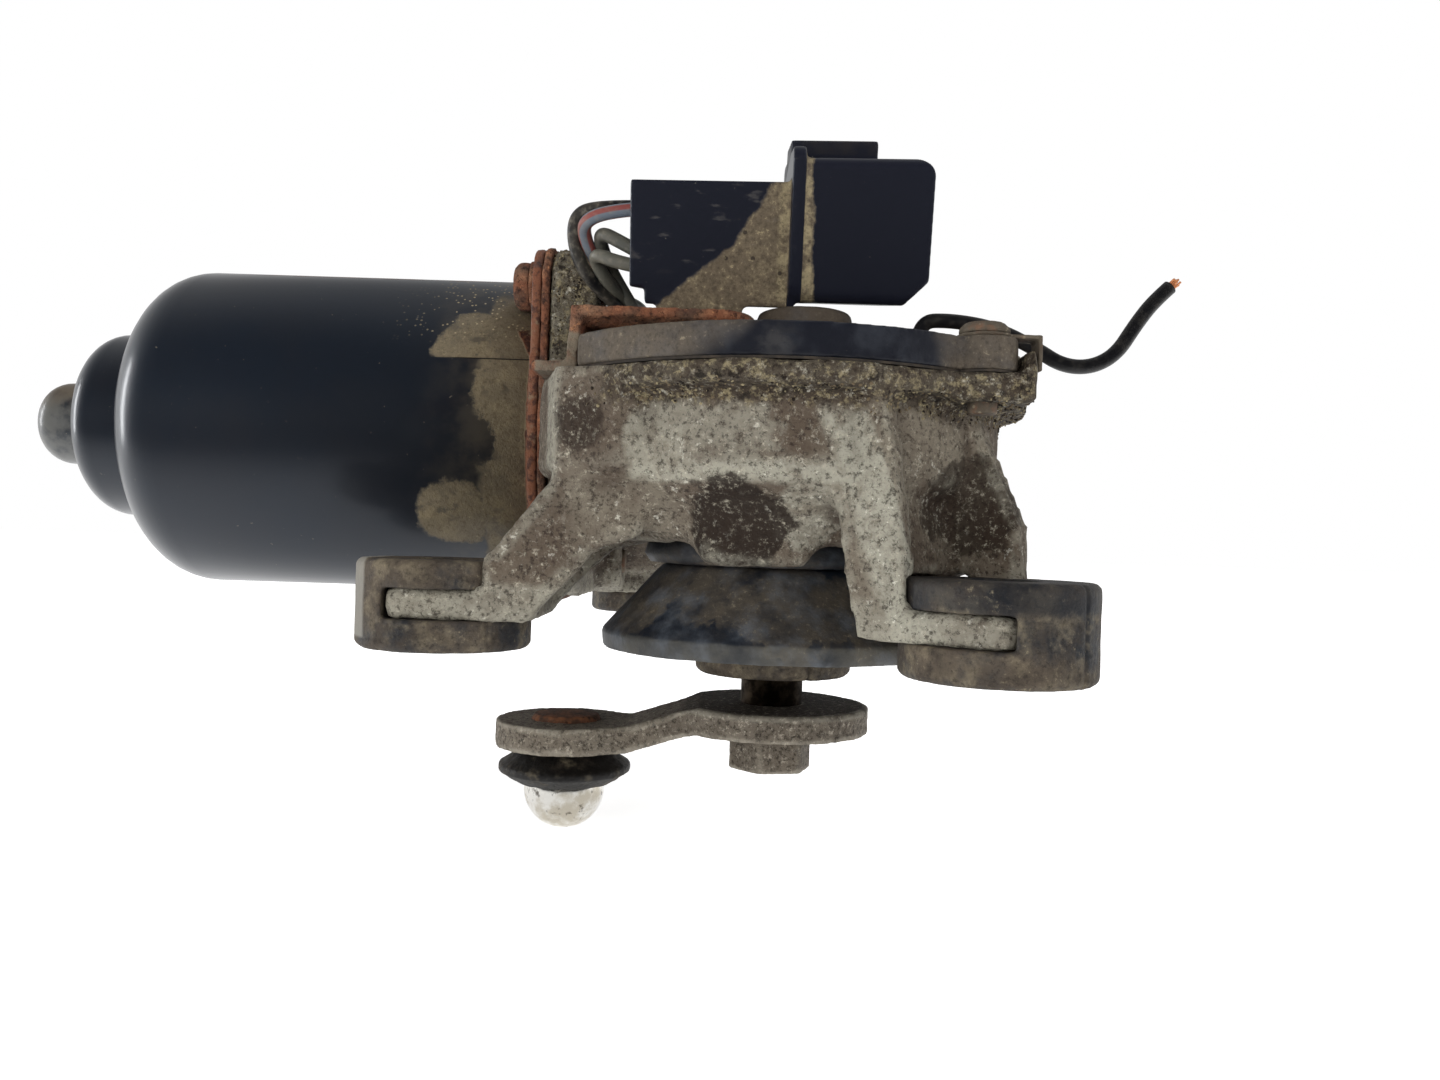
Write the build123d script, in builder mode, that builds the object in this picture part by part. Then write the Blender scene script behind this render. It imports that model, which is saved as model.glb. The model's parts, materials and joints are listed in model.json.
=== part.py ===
from build123d import *
from math import acos, cos, pi, radians, sin, tan
import os

os.makedirs("parts", exist_ok=True)

# Front wiper motor with three rubber feet.
# Millimetres. Origin: the output axis in the plane of the feet's undersides.
# +Z runs up the output axis to the gear cover, +X along the motor away from its can.

# ---------------------------------------------------------------- clearances
press_gap = 0.02  # between pieces that are pressed or clamped together
running_gap = 0.04  # radial, shaft in a bush
loose_gap = 0.3  # between pieces that only pass each other
air_gap = 0.6  # lamination stack to magnets

# ---------------------------------------------------------------- gear train
gear_module = 1.25
wheel_teeth = 48
pressure_angle = 20.0
worm_pitch_diameter = 9.0
worm_length = 26.0
wheel_face = 8.0
mesh_backlash = 0.36
tooth_dedendum = 1.2 * gear_module
thread_sink = 0.3  # how far the worm's thread goes into its core
motor_z = 36.0  # height of the motor axis and of the wheel's middle plane
hub_radius = 9.0
wheel_rim = 5.0  # pitch circle to the hollow in the wheel's side
wheel_hollow = 2.6
wheel_rib = 2.0

# ---------------------------------------------------------------- output shaft and what rides on it
output_diameter = 10.0
bush_wall = 2.0
bush_length = 7.0
seal_length = 2.2
boss_diameter = 21.0
boss_bottom = -1.0
boss_rise = 2.0
washer_thickness = 0.5
ring_thickness = 0.8
ring_groove = -2.6
ring_groove_depth = 0.6
ring_rim = 2.4
drive_plate_thickness = 1.6
drive_plate_radius = 13.0
park_radius = 20.0
park_thickness = 0.6
park_notch_size = (9.0, 10.0)
spline_depth = 0.5

# ---------------------------------------------------------------- crank
arm_radius = 33.4  # output axis to ball stud
arm_thickness = 4.2
arm_top = -8.9
arm_joggle = 3.7
arm_hub_diameter = 31.4
arm_end_diameter = 22.6
arm_waist = 15.0
arm_waist_fillet = 4.0
nut_across_flats = 12.0
nut_height = 6.4
nut_turn = 12.0  # degrees that the nut ends up turned by
thread_diameter = 8.0
thread_short = 0.8  # thread's end inside the nut
ball_diameter = 13.0
ball_drop = 11.2  # ball centre below the arm's top face at its small end
ball_neck_diameter = 8.0
rivet_radius = 3.5
rivet_head_radius = 5.7
rivet_head_height = 1.3
boot_diameter = 21.4
boot_wall = 1.4
boot_height = 6.0
boot_slope = 2.9  # boot's fall from its neck to its rim
boot_rim = 1.0

# ---------------------------------------------------------------- gear housing
cover_plane = 41.0
chamber_floor = 29.0
floor_thickness = 3.0
floor_fillet = 2.0
chamber_radius = 32.0
chamber_wall = 2.6
lip_height = 3.2
lip_reach = 0.5  # lip beyond the cover's edge
skirt_radii = (34.4, 29.5, 26.5)  # at the floor, below its shoulder and at its foot
skirt_drop = 4.0
skirt_bottom = 16.7
skirt_wall = 4.0
tunnel_wall = 3.5
tunnel_end = 33.0
bell_radius = 21.0
bell_length = 12.0
rib_thickness = 3.0
flange_plane = -39.0  # X of the face that the motor bolts to
flange_thickness = 3.6
flange_radius = 30.5
ear_offset = 24.0  # flange screws, across and up from the motor axis
ear_radius = 6.4
ear_depth = 9.0
lug_radius = 4.6
lug_depth = 4.0
lug_upstand = 1.6
upstand_height = 3.4

# ---------------------------------------------------------------- motor
can_radius = 29.5
can_wall = 2.2
can_shoulder_x = -116.2
can_shoulder_radius = 12.0
nose_radius = 16.9
nose_x = -128.6
nose_edge = 5.5
tip_radius = 7.8
tip_x = -140.3
tip_edge = 5.0
can_flange_thickness = 1.6
brush_plate_thickness = 1.4
plate_opening = 12.0
magnet_thickness = 6.0
magnet_length = 38.0
magnet_edge_height = 8.0
clip_wall = 1.0
stack_length = 32.0
stack_centre_x = -83.0
slot_count = 12
slot_depth = 8.0
slot_mouth = 1.6
slot_width = 3.2
winding_radius = 17.5
winding_depth = 8.0
winding_gap = 1.5  # from the shaft to the end turns
shaft_diameter = 8.0
worm_journal_diameter = 6.0
commutator_radius = 9.5
commutator_length = 10.0
commutator_rim = 1.6
bar_gap = 0.5
rear_bush_radius = 7.5
rear_bush_length = 8.0
rear_bush_chamfer = 2.0
thrust_ball_radius = 2.0
front_bush_x = (-38.0, -30.0)
front_bush_radius = 7.5
end_bush_x = (20.0, 27.0)
end_bush_radius = 5.0
thrust_plug_x = 29.0
card_thickness = 1.8
brush_length = 9.0
brush_width = 4.0
brush_angles = (90.0, 210.0, 270.0)
holder_wall = 0.8
choke_angles = (150.0, 30.0)
choke_place_radius = 19.0
choke_radius = 3.0
choke_length = 9.0
flange_screw_diameter = 5.0
flange_head_diameter = 8.2
flange_head_height = 2.8
screw_washer = 1.0
screw_reach = 9.5

# ---------------------------------------------------------------- legs and feet
foot_diameter = 26.0
foot_height = 13.2
foot_chamfer = 0.7
ear_bottom = 4.7
ear_thickness = 4.4
fork_slot = 15.0
fork_width = 23.0
fork_reach = 6.2  # tines beyond the foot's centre
rib_width = 4.0
sleeve_bore = 6.5
sleeve_wall = 1.9
sleeve_inset = 0.6
feet = {
    "left": ((-50.6, -13.0), 180.0),
    "right": ((28.0, -34.0), -35.0),
    "rear": ((-26.5, 85.0), 90.0),
}

# ---------------------------------------------------------------- cover and what it carries
cover_radius = 38.3
cover_rim = 4.6
cover_wall = 1.2
cover_cut = -30.4  # X where the cover is cut off beside the motor flange
gasket_thickness = 0.4
rest_at = (3.0, -6.5)
rest_radius = 7.5
cover_screw_diameter = 4.0
cover_screw_reach = 5.3  # below the cover's plane
cover_head_diameter = 7.0
cover_head_height = 1.6
head_chamfer = 0.8
clip_thickness = 0.6
clip_width = 4.0
clip_drop = 5.0
contact_plate_radius = 27.4
contact_plate_thickness = 1.2
finger_radii = (14.8, 17.0, 19.2)
finger_width = 1.6
finger_length = 16.0
finger_thickness = 0.4
finger_foot_length = 2.4

# ---------------------------------------------------------------- seals at the output
cone_rim_radius = 27.7
cone_top_radius = 18.0
cone_top = 13.4
cone_wall = 2.4
cone_collar = 6.0  # height of the collar's foot, above the feet's plane
cap_radius = 12.6
cap_height = 4.0
cap_floor = 1.0
cap_chamfer = 0.7

# ---------------------------------------------------------------- connector
connector_bottom = 53.3
connector_rear_x = -24.3
connector_mouth_x = 21.2
connector_front_y = -13.0
connector_back_y = 15.0
connector_lean = 12.0  # degrees that its back is raised, about its lower front edge
shroud_x = 1.9
shroud_top = 76.0
shroud_wall = 1.6
shroud_step = 0.6  # shroud's underside above the body's
shroud_chamfer = 3.4
shroud_fillet = 1.8
body_top = 72.2
body_inset = 1.2
notch_height = 2.0
notch_length = 2.3
rib_depth = 2.0
rib_bottom = 54.6
rib_top = 77.6
lock_end_x = 13.4
lock_top = 79.4
lock_inset = 8.0
rail_x = (-20.0, -7.0)
rail_y = (-12.0, -6.5)
socket_x = 6.3
blade_width = 2.3
blade_thickness = 0.64
blade_end_x = 15.8
terminal_places = [(-7.0, 67.5), (1.0, 67.5), (9.0, 67.5), (-3.0, 61.5), (5.0, 61.5)]

# ---------------------------------------------------------------- connector's bracket
bracket_thickness = 1.5
bracket_top = 49.5
bracket_foot_x = -37.4
bracket_riser_x = -30.9
bracket_end_x = -4.8
bracket_y = (-21.0, -6.0)
bracket_corner = 4.0
tab_x = (-27.9, -20.0)
tab_y = -9.0
tab_top = 52.8
bracket_screw_at = (-35.0, -8.5)
bracket_screw_diameter = 3.0
bracket_head_diameter = 5.2
bracket_head_height = 1.9

# ---------------------------------------------------------------- leads and the cut wire
lead_diameter = 1.9
cut_wire_diameter = 2.2
lead_grommet_at = (-15.5, 22.5)
grommet_waist = 4.2
grommet_top = 49.6
grommet_lip = 1.2
ground_bush_at = (19.8, -12.0)
ground_bush_radius = 2.6
ground_bush_lip = 0.8
ground_bush_top = 46.6
lead_exit = connector_rear_x - press_gap
lead_foot = grommet_top + press_gap
lead_routes = {
    "lead_black": [
        (lead_exit, -6.5, 69.0), (-32.0, -6.5, 69.0), (-32.4, -5.6, 60.0), (-27.6, -2.0, 55.0),
        (-25.8, 10.0, 53.1), (-24.0, 20.0, 53.0), (-17.6, 24.2, 52.9), (-17.6, 24.2, lead_foot),
    ],
    "lead_red": [
        (lead_exit, -2.5, 67.5), (-30.2, -2.5, 67.5), (-30.5, -1.5, 60.8), (-27.9, 3.1, 56.8),
        (-26.2, 10.0, 55.4), (-25.6, 19.0, 55.5), (-14.2, 25.0, 55.3), (-14.2, 25.0, lead_foot),
    ],
    "lead_grey": [
        (lead_exit, 1.5, 64.5), (-28.6, 1.5, 64.5), (-28.0, 2.3, 60.2), (-24.4, 4.1, 56.6),
        (-23.6, 9.4, 53.1), (-22.0, 17.2, 52.9), (-16.6, 20.2, 52.7), (-16.6, 20.2, lead_foot),
    ],
    "lead_white": [
        (lead_exit, 5.5, 61.5), (-28.6, 5.5, 61.5), (-28.3, 8.9, 58.9), (-24.2, 11.7, 57.2),
        (-23.2, 17.0, 55.4), (-13.0, 21.6, 55.0), (-13.0, 21.6, lead_foot),
    ],
}
cut_wire_points = [
    (*ground_bush_at, ground_bush_top + press_gap),
    (19.8, -12.0, 51.6),
    (24.8, -13.2, 51.7),
    (31.2, -14.6, 50.4),
    (37.0, -15.6, 47.4),
    (40.9, -15.9, 44.9),
    (45.2, -16.0, 44.7),
    (49.0, -16.0, 46.8),
    (51.8, -15.8, 51.4),
    (54.8, -15.5, 55.4),
    (58.4, -15.3, 58.6),
]

# ---------------------------------------------------------------- worked out from these
wheel_pitch_radius = gear_module * wheel_teeth / 2
worm_pitch_radius = worm_pitch_diameter / 2
motor_y = wheel_pitch_radius + worm_pitch_radius
axial_pitch = pi * gear_module
worm_tip_radius = worm_pitch_radius + gear_module
worm_root_radius = worm_pitch_radius - tooth_dedendum
lead_tangent = axial_pitch / (2 * pi * worm_pitch_radius)
tunnel_radius = worm_tip_radius + loose_gap
tunnel_outer = tunnel_radius + tunnel_wall
output_radius = output_diameter / 2
bush_radius = output_radius + bush_wall
boss_radius = boss_diameter / 2
shaft_radius = shaft_diameter / 2
journal_radius = worm_journal_diameter / 2
ear_top = ear_bottom + ear_thickness
sleeve_outer = sleeve_bore / 2 + sleeve_wall
plate_face = flange_plane - brush_plate_thickness
can_mouth = plate_face - can_flange_thickness
can_bore = can_radius - can_wall
stack_radius = can_bore - magnet_thickness - air_gap
magnet_inner = can_bore - magnet_thickness
rim_bottom = cover_plane + gasket_thickness
cover_top = rim_bottom + cover_rim
cover_ceiling = cover_top - cover_wall
ear_places = [(-ear_offset, ear_offset), (ear_offset, -ear_offset)]
connector_middle = (connector_front_y + connector_back_y) / 2
connector_width = connector_back_y - connector_front_y

output_profile = Plane.XZ
output_axis = Axis.Z
motor_profile = Plane(origin=(0, motor_y, motor_z), x_dir=(1, 0, 0), z_dir=(0, -1, 0))
motor_axis = Axis((0, motor_y, motor_z), (1, 0, 0))
lean_axis = Axis((0, connector_front_y, connector_bottom), (1, 0, 0))

def across_motor(x):
    """The plane square to the motor axis at x: its own x runs along +Y, its own y along +Z."""
    return Plane(origin=(x, motor_y, motor_z), x_dir=(0, 1, 0), z_dir=(1, 0, 0))


def foot_plane(name, z=0.0):
    """The plane of one foot: its own x runs outboard, the way the fork opens."""
    (x, y), heading = feet[name]
    outboard = (cos(radians(heading)), sin(radians(heading)), 0)
    return Plane(origin=(x, y, z), x_dir=outboard, z_dir=(0, 0, 1))


def upright_plane(name, side):
    """An upright plane along one foot's heading, set to its left by side: x outboard, y up."""
    flat = foot_plane(name)
    origin = flat.origin + flat.y_dir * side
    return Plane(origin=origin, x_dir=flat.x_dir, z_dir=flat.x_dir.cross(Vector(0, 0, 1)))


def outline(plane, *points):
    """A face inside straight lines through the points."""
    with BuildSketch(plane) as drawn:
        with BuildLine():
            Polyline(*points, close=True)
        make_face()
    return drawn.sketch


def turned(plane, axis, *points, mode=Mode.ADD):
    """Turns a closed outline about an axis, in the part being built."""
    revolve(outline(plane, *points), axis=axis, mode=mode)


def motor_ring(start, end, outer, inner=0.0, mode=Mode.ADD):
    """A plain ring or disc about the motor axis, from start to end along it."""
    turned(motor_profile, motor_axis, (start, inner), (end, inner), (end, outer), (start, outer), mode=mode)


def output_ring(bottom, top, outer, inner=0.0, mode=Mode.ADD):
    """A plain ring or disc about the output axis."""
    corners = [(inner, bottom), (outer, bottom), (outer, top), (inner, top)]
    turned(output_profile, output_axis, *corners, mode=mode)


def save(built, name):
    built.part.label = name
    export_step(built.part, f"parts/{name}.step")


# ================================================================ gear housing
# Cover screws: two on lugs to the right, one behind the worm tunnel.
lug_front = (26.4, -28.2)
lug_right = (33.6, 20.0)
lug_back = (-8.0, motor_y + tunnel_outer + 3.0)
cover_screws_at = [lug_front, lug_right, lug_back]
upstand_x = lug_front[0] + lug_radius + lip_reach + lug_upstand  # outer face of the upstand by the front lug
cover_bay = (34.0, motor_y + tunnel_radius + 2.4)  # the cover's bulge over the worm
corner_x = flange_plane + 1.0
drum_outer = chamber_radius + chamber_wall
under_floor = chamber_floor - floor_thickness
half_fork = fork_width / 2


def cover_outline(plane, grow):
    """The cover's plan: a disc cut off beside the motor, a bay over the worm, and screw lugs."""
    with BuildSketch(plane) as drawn:
        Circle(cover_radius + grow)
        with Locations((0, cover_bay[1] / 2)):
            Rectangle(cover_bay[0] + 2 * grow, cover_bay[1] + 2 * grow)
        for x, y in cover_screws_at:
            with BuildLine():
                Polyline(*arm_of_lug(x, y, lug_radius + grow), close=True)
            make_face()
            with Locations((x, y)):
                Circle(lug_radius + grow)
        with Locations((cover_cut - grow - cover_radius, 0)):
            Rectangle(2 * cover_radius, 4 * cover_radius, mode=Mode.SUBTRACT)
    return drawn.sketch


def cover_inside(plane):
    """The hollow of the cover: its disc and bay less the wall, so that its lugs stay solid."""
    with BuildSketch(plane) as drawn:
        Circle(cover_radius - cover_wall)
        with Locations((0, cover_bay[1] / 2)):
            Rectangle(cover_bay[0] - 2 * cover_wall, cover_bay[1] - 2 * cover_wall)
        with Locations((cover_cut + cover_wall - cover_radius, 0)):
            Rectangle(2 * cover_radius, 4 * cover_radius, mode=Mode.SUBTRACT)
    return drawn.sketch


def arm_of_lug(x, y, half_width):
    """The corners of the straight arm that joins a lug to the disc's centre."""
    along = Vector(x, y, 0)
    aside = along.normalized().rotate(Axis.Z, 90) * half_width
    return [aside, -aside, along - aside, along + aside]


def rib(foot, left, right, *points):
    """A rib of a leg, between two distances to the left of its heading; points are (outboard, up)."""
    extrude(outline(upright_plane(foot, left), *points), amount=left - right)


def inboard(foot, x_or_y):
    """Where a world X (left foot) or Y (rear foot) lies along that foot's heading."""
    (x, y), heading = feet[foot]
    return x - x_or_y if heading == 180.0 else x_or_y - y


with BuildPart() as gear_housing:
    # Drum round the worm wheel, with a square corner towards the motor.
    with BuildSketch(Plane.XY.offset(under_floor)) as drum:
        Circle(drum_outer)
        with BuildLine():
            Polyline((-22, -30.3), (-33, -26), (corner_x, -8), (corner_x, motor_y), (0, motor_y), close=True)
        make_face()
        with BuildLine():
            Polyline((31, motor_y), (36, 8), (0, 0), (0, motor_y), close=True)
        make_face()
    extrude(amount=cover_plane - under_floor)
    fillet(gear_housing.faces().sort_by(Axis.Z)[0].edges(), radius=floor_fillet)
    # Lip that carries the cover, and its screw lugs.
    extrude(cover_outline(Plane.XY.offset(cover_plane - lip_height), lip_reach), amount=lip_height)
    with BuildSketch(Plane.XY.offset(cover_plane - lug_depth)) as lugs:
        with Locations(*cover_screws_at):
            Circle(lug_radius)
    extrude(amount=lug_depth)
    # Upstand beside the front lug.
    with BuildSketch(Plane.XY.offset(cover_plane - lug_depth)) as upstand:
        with Locations((upstand_x - lug_upstand / 2, lug_front[1])):
            Rectangle(lug_upstand, 2 * lug_radius - 1)
        with Locations((upstand_x - lug_radius, lug_front[1])):
            Rectangle(2 * lug_radius, 2 * lug_radius - 1)
    extrude(amount=lug_depth)
    with BuildSketch(Plane.XY.offset(cover_plane)) as upstand_top:
        with Locations((upstand_x - lug_upstand / 2, lug_front[1])):
            Rectangle(lug_upstand, 2 * lug_radius - 1)
    extrude(amount=upstand_height)
    # Conical skirt under the floor, round the output boss.
    turned(
        output_profile, output_axis,
        (skirt_radii[0], under_floor), (skirt_radii[1], under_floor - skirt_drop),
        (skirt_radii[2], skirt_bottom),
        (skirt_radii[2] - skirt_wall, skirt_bottom), (skirt_radii[1] - skirt_wall, under_floor),
    )
    # Front block over the cone seal.
    with BuildSketch(Plane.XY.offset(cone_top + loose_gap)) as block:
        with Locations((-4.2, -19)):
            Rectangle(15.6, 15)
    extrude(amount=under_floor - cone_top)
    # Boss of the output shaft, tied to the skirt by radial ribs.
    output_ring(boss_bottom, chamber_floor + boss_rise, boss_radius)
    with BuildSketch(Plane.XY.offset(skirt_bottom + 1)) as spokes:
        with PolarLocations(skirt_radii[2] / 2 + 2.5, 6, start_angle=30):
            Rectangle(skirt_radii[2] - 1, rib_thickness)
    extrude(amount=under_floor - skirt_bottom)
    # Worm tunnel, with the casting that ties it to the drum.
    motor_ring(flange_plane, tunnel_end, tunnel_outer)
    with BuildSketch(Plane.XY.offset(under_floor)) as tunnel_foot:
        with Locations(((flange_plane + tunnel_end) / 2, motor_y)):
            Rectangle(tunnel_end - flange_plane - 2, 2 * tunnel_outer - 4)
    extrude(amount=motor_z - under_floor)
    # Motor flange, its two deep ears, the bell behind it and its gussets.
    with BuildSketch(across_motor(flange_plane)) as flange:
        Circle(flange_radius)
        with Locations(*ear_places):
            Circle(ear_radius)
        make_hull()
    extrude(amount=flange_thickness)
    for across, up in ear_places:
        with BuildSketch(across_motor(flange_plane)) as ear:
            with Locations((across, up), (across * 0.9, up * 0.42)):
                Circle(ear_radius)
            make_hull()
        extrude(amount=ear_depth)
    turned(
        motor_profile, motor_axis,
        (flange_plane, bell_radius), (flange_plane + flange_thickness, bell_radius),
        (flange_plane + bell_length, tunnel_outer), (flange_plane + bell_length, 0), (flange_plane, 0),
    )
    for turn in range(0, 360, 60):
        gusset = outline(
            motor_profile,
            (flange_plane + 1, 6), (flange_plane + 1, flange_radius - 3),
            (flange_plane + flange_thickness + 1, flange_radius - 5), (flange_plane + bell_length + 7, 6),
        )
        extrude(gusset.rotate(motor_axis, turn + 30), amount=rib_thickness / 2, both=True)
    # Forked ears that hold the rubber feet.
    for foot in feet:
        with BuildSketch(foot_plane(foot, ear_bottom)) as fork:
            with Locations((fork_reach / 2 - 7.5, 0)):
                RectangleRounded(fork_reach + 15, fork_width, 2.5)
        extrude(amount=ear_thickness)
    # Left leg: two sloping ribs with a web between their upper edges.
    root = inboard("left", -33.0)
    slope = [(root, 38.0), (root, 25.5), (-7.0, 12.4), (-4.6, ear_top)]
    side = slope + [
        (-4.6, ear_bottom), (-14.1, ear_bottom), (inboard("left", -26.5), 15.4),
        (inboard("left", -20.0), skirt_bottom), (inboard("left", -18.0), 34.0),
    ]
    rib("left", half_fork, half_fork - rib_width, *side)
    rib("left", rib_width - half_fork, -half_fork, *side)
    web = slope + [(-9.5, ear_top), (-11.5, 12.4), (root - 5, 25.5), (root - 5, 38.0)]
    rib("left", half_fork, -half_fork, *web)
    # Right leg: an upright channel, open outboard, its back rib flaring out over the foot.
    rib("right", half_fork, -half_fork, (-19, 37), (-13.8, 37), (-10, 13.5), (-10, ear_bottom),
        (-15, ear_bottom), (-19, 20))
    rib("right", rib_width - half_fork, -half_fork, (-19, 38), (-12, 38), (-8, 12), (-8, ear_bottom),
        (-14, ear_bottom), (-18, 20))
    rib("right", half_fork, half_fork - rib_width, (-19, 38), (-8, 37), (-3, 26.5), (-0.4, 20.5),
        (0.2, 13.6), (-10, 13.6), (-10, ear_bottom), (-15, ear_bottom), (-19, 20))
    # Rear leg, from under the worm tunnel past the can to the third foot.
    far = inboard("rear", motor_y)
    rear_top = [(far, 36.0), (far + 9, 32.0), (-24.0, 20.0), (-11.0, ear_top)]
    rear_side = rear_top + [
        (-11, ear_bottom), (-16, ear_bottom), (far + 4, skirt_bottom), (far - 8, skirt_bottom + 3),
    ]
    rib("rear", half_fork, half_fork - rib_width, *rear_side)
    rib("rear", rib_width - half_fork, -half_fork, *rear_side)
    rib("rear", half_fork, -half_fork, *rear_top, (-16, ear_top), (-27, 16.5), (far + 4, 28), (far, 28))
    # Room for the cover, the wheel, the worm and its bearings.
    extrude(cover_outline(Plane.XY.offset(cover_plane), lip_reach), amount=4 * cover_rim, mode=Mode.SUBTRACT)
    output_ring(chamber_floor, cover_plane + 1, chamber_radius, boss_radius, mode=Mode.SUBTRACT)
    output_ring(chamber_floor + boss_rise, cover_plane + 1, chamber_radius, mode=Mode.SUBTRACT)
    motor_ring(flange_plane, end_bush_x[0], tunnel_radius, mode=Mode.SUBTRACT)
    motor_ring(flange_plane, front_bush_x[1] + press_gap, front_bush_radius + press_gap, mode=Mode.SUBTRACT)
    motor_ring(end_bush_x[0], tunnel_end, end_bush_radius + press_gap, mode=Mode.SUBTRACT)
    # Through bore of the boss, stepped for the two bushes.
    output_ring(boss_bottom, chamber_floor + boss_rise, bush_radius + press_gap, mode=Mode.SUBTRACT)
    # Clear round each rubber foot, above and inside its fork.
    for foot in feet:
        with BuildSketch(foot_plane(foot, ear_top)) as relief:
            Circle(foot_diameter / 2 + loose_gap)
        extrude(amount=foot_height - ear_top + loose_gap, mode=Mode.SUBTRACT)
        with BuildSketch(foot_plane(foot, 0)) as underside:
            Circle(foot_diameter / 2 + loose_gap)
        extrude(amount=ear_bottom, mode=Mode.SUBTRACT)
        with BuildSketch(foot_plane(foot, ear_bottom)) as slot:
            Circle(fork_slot / 2)
            with Locations((fork_slot, 0)):
                Rectangle(2 * fork_slot, fork_slot)
        extrude(amount=ear_thickness, mode=Mode.SUBTRACT)
    # Tapped holes: cover screws, bracket screw and flange screws.
    with Locations(*[(x, y, cover_plane) for x, y in cover_screws_at]):
        Hole(cover_screw_diameter / 2 + press_gap, depth=cover_screw_reach + 1)
    with Locations((*bracket_screw_at, cover_plane)):
        Hole(bracket_screw_diameter / 2 + press_gap, depth=cover_screw_reach + 1)
    for across, up in ear_places:
        with BuildSketch(across_motor(flange_plane)) as tapped:
            with Locations((across, up)):
                Circle(flange_screw_diameter / 2 + press_gap)
        extrude(amount=screw_reach + 1, mode=Mode.SUBTRACT)
save(gear_housing, "gear_housing")

# ================================================================ motor can
def can_outline(inset):
    """The can's half section, moved inwards by inset."""
    with BuildSketch(motor_profile) as drawn:
        with BuildLine():
            FilletPolyline(
                (can_mouth, 0),
                (can_mouth, can_radius - inset),
                (can_shoulder_x + inset, can_radius - inset),
                (can_shoulder_x + inset, nose_radius - inset),
                (nose_x + inset, nose_radius - inset),
                (nose_x + inset, tip_radius - inset),
                (tip_x + inset, tip_radius - inset),
                (tip_x + inset, 0),
                radius=[0, 0, can_shoulder_radius - inset, 0, nose_edge - inset, 0, tip_edge - inset, 0],
                close=True,
            )
        make_face()
    return drawn.sketch


with BuildPart() as motor_can:
    revolve(can_outline(0), axis=motor_axis)
    with BuildSketch(across_motor(can_mouth)) as can_flange:
        Circle(flange_radius + 0.5)
        with Locations(*ear_places):
            Circle(ear_radius)
        make_hull()
    extrude(amount=can_flange_thickness)
    revolve(can_outline(can_wall), axis=motor_axis, mode=Mode.SUBTRACT)
    motor_ring(can_mouth, plate_face, can_bore, mode=Mode.SUBTRACT)
    with BuildSketch(across_motor(can_mouth)) as can_holes:
        with Locations(*ear_places):
            Circle(flange_screw_diameter / 2 + loose_gap)
    extrude(amount=can_flange_thickness, mode=Mode.SUBTRACT)
save(motor_can, "motor_can")

# Steel plate of the brush gear, clamped between the can and the housing.
with BuildPart() as brush_plate:
    with BuildSketch(across_motor(plate_face)) as plate:
        Circle(flange_radius + 0.8)
        with Locations(*ear_places):
            Circle(ear_radius + 0.3)
        make_hull()
        Circle(plate_opening, mode=Mode.SUBTRACT)
        with Locations(*ear_places):
            Circle(flange_screw_diameter / 2 + loose_gap, mode=Mode.SUBTRACT)
    extrude(amount=brush_plate_thickness)
save(brush_plate, "brush_plate")

with BuildPart() as flange_screws:
    for across, up in ear_places:
        with BuildSketch(across_motor(can_mouth - screw_washer)) as shank:
            with Locations((across, up)):
                Circle(flange_screw_diameter / 2)
        extrude(amount=flange_plane - can_mouth + screw_washer + screw_reach)
        with BuildSketch(across_motor(can_mouth - screw_washer)) as head:
            with Locations((across, up)):
                Circle(flange_head_diameter / 2)
        extrude(amount=-flange_head_height)
    chamfer(flange_screws.edges().group_by(Axis.X)[0], length=head_chamfer)
    for across, up in ear_places:
        with BuildSketch(across_motor(can_mouth - screw_washer - flange_head_height)) as recess:
            with Locations((across, up)):
                Rectangle(5.0, 1.1, rotation=45)
                Rectangle(1.1, 5.0, rotation=45)
        extrude(amount=1.6, mode=Mode.SUBTRACT)
save(flange_screws, "flange_screws")

with BuildPart() as screw_washers:
    for across, up in ear_places:
        with BuildSketch(across_motor(can_mouth)) as washer:
            with Locations((across, up)):
                Circle(flange_head_diameter / 2 + 0.3)
                Circle(flange_screw_diameter / 2 + loose_gap, mode=Mode.SUBTRACT)
        extrude(amount=-screw_washer)
save(screw_washers, "screw_washers")

# Two ferrite arcs held apart by spring clips.
with BuildPart() as magnets:
    with BuildSketch(across_motor(stack_centre_x - magnet_length / 2)) as arcs:
        Circle(can_bore - press_gap)
        Circle(magnet_inner, mode=Mode.SUBTRACT)
        Rectangle(3 * can_bore, 2 * magnet_edge_height, mode=Mode.SUBTRACT)
    extrude(amount=magnet_length)
save(magnets, "magnets")

with BuildPart() as magnet_clips:
    clip_radius = can_bore - press_gap
    with BuildSketch(across_motor(stack_centre_x - magnet_length / 2)) as clips:
        Circle(clip_radius)
        Circle(clip_radius - clip_wall, mode=Mode.SUBTRACT)
        Rectangle(3 * can_bore, 2 * magnet_edge_height - 1, mode=Mode.INTERSECT)
    extrude(amount=magnet_length)
save(magnet_clips, "magnet_clips")

# Rear bearing: a barrel bush held in the nose by a dished ring, with a ball behind the shaft.
rear_seat = nose_x + can_wall
rear_bush_end = rear_seat + rear_bush_length
shaft_end = tip_x + can_wall + 2 * thrust_ball_radius + 2 * press_gap
with BuildPart() as rear_bush:
    motor_ring(rear_seat, rear_bush_end, rear_bush_radius, shaft_radius + running_gap)
    outer_edges = rear_bush.edges().filter_by(GeomType.CIRCLE).sort_by(SortBy.RADIUS)[-2:]
    chamfer(outer_edges, length=rear_bush_chamfer)
save(rear_bush, "rear_bush")

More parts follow.
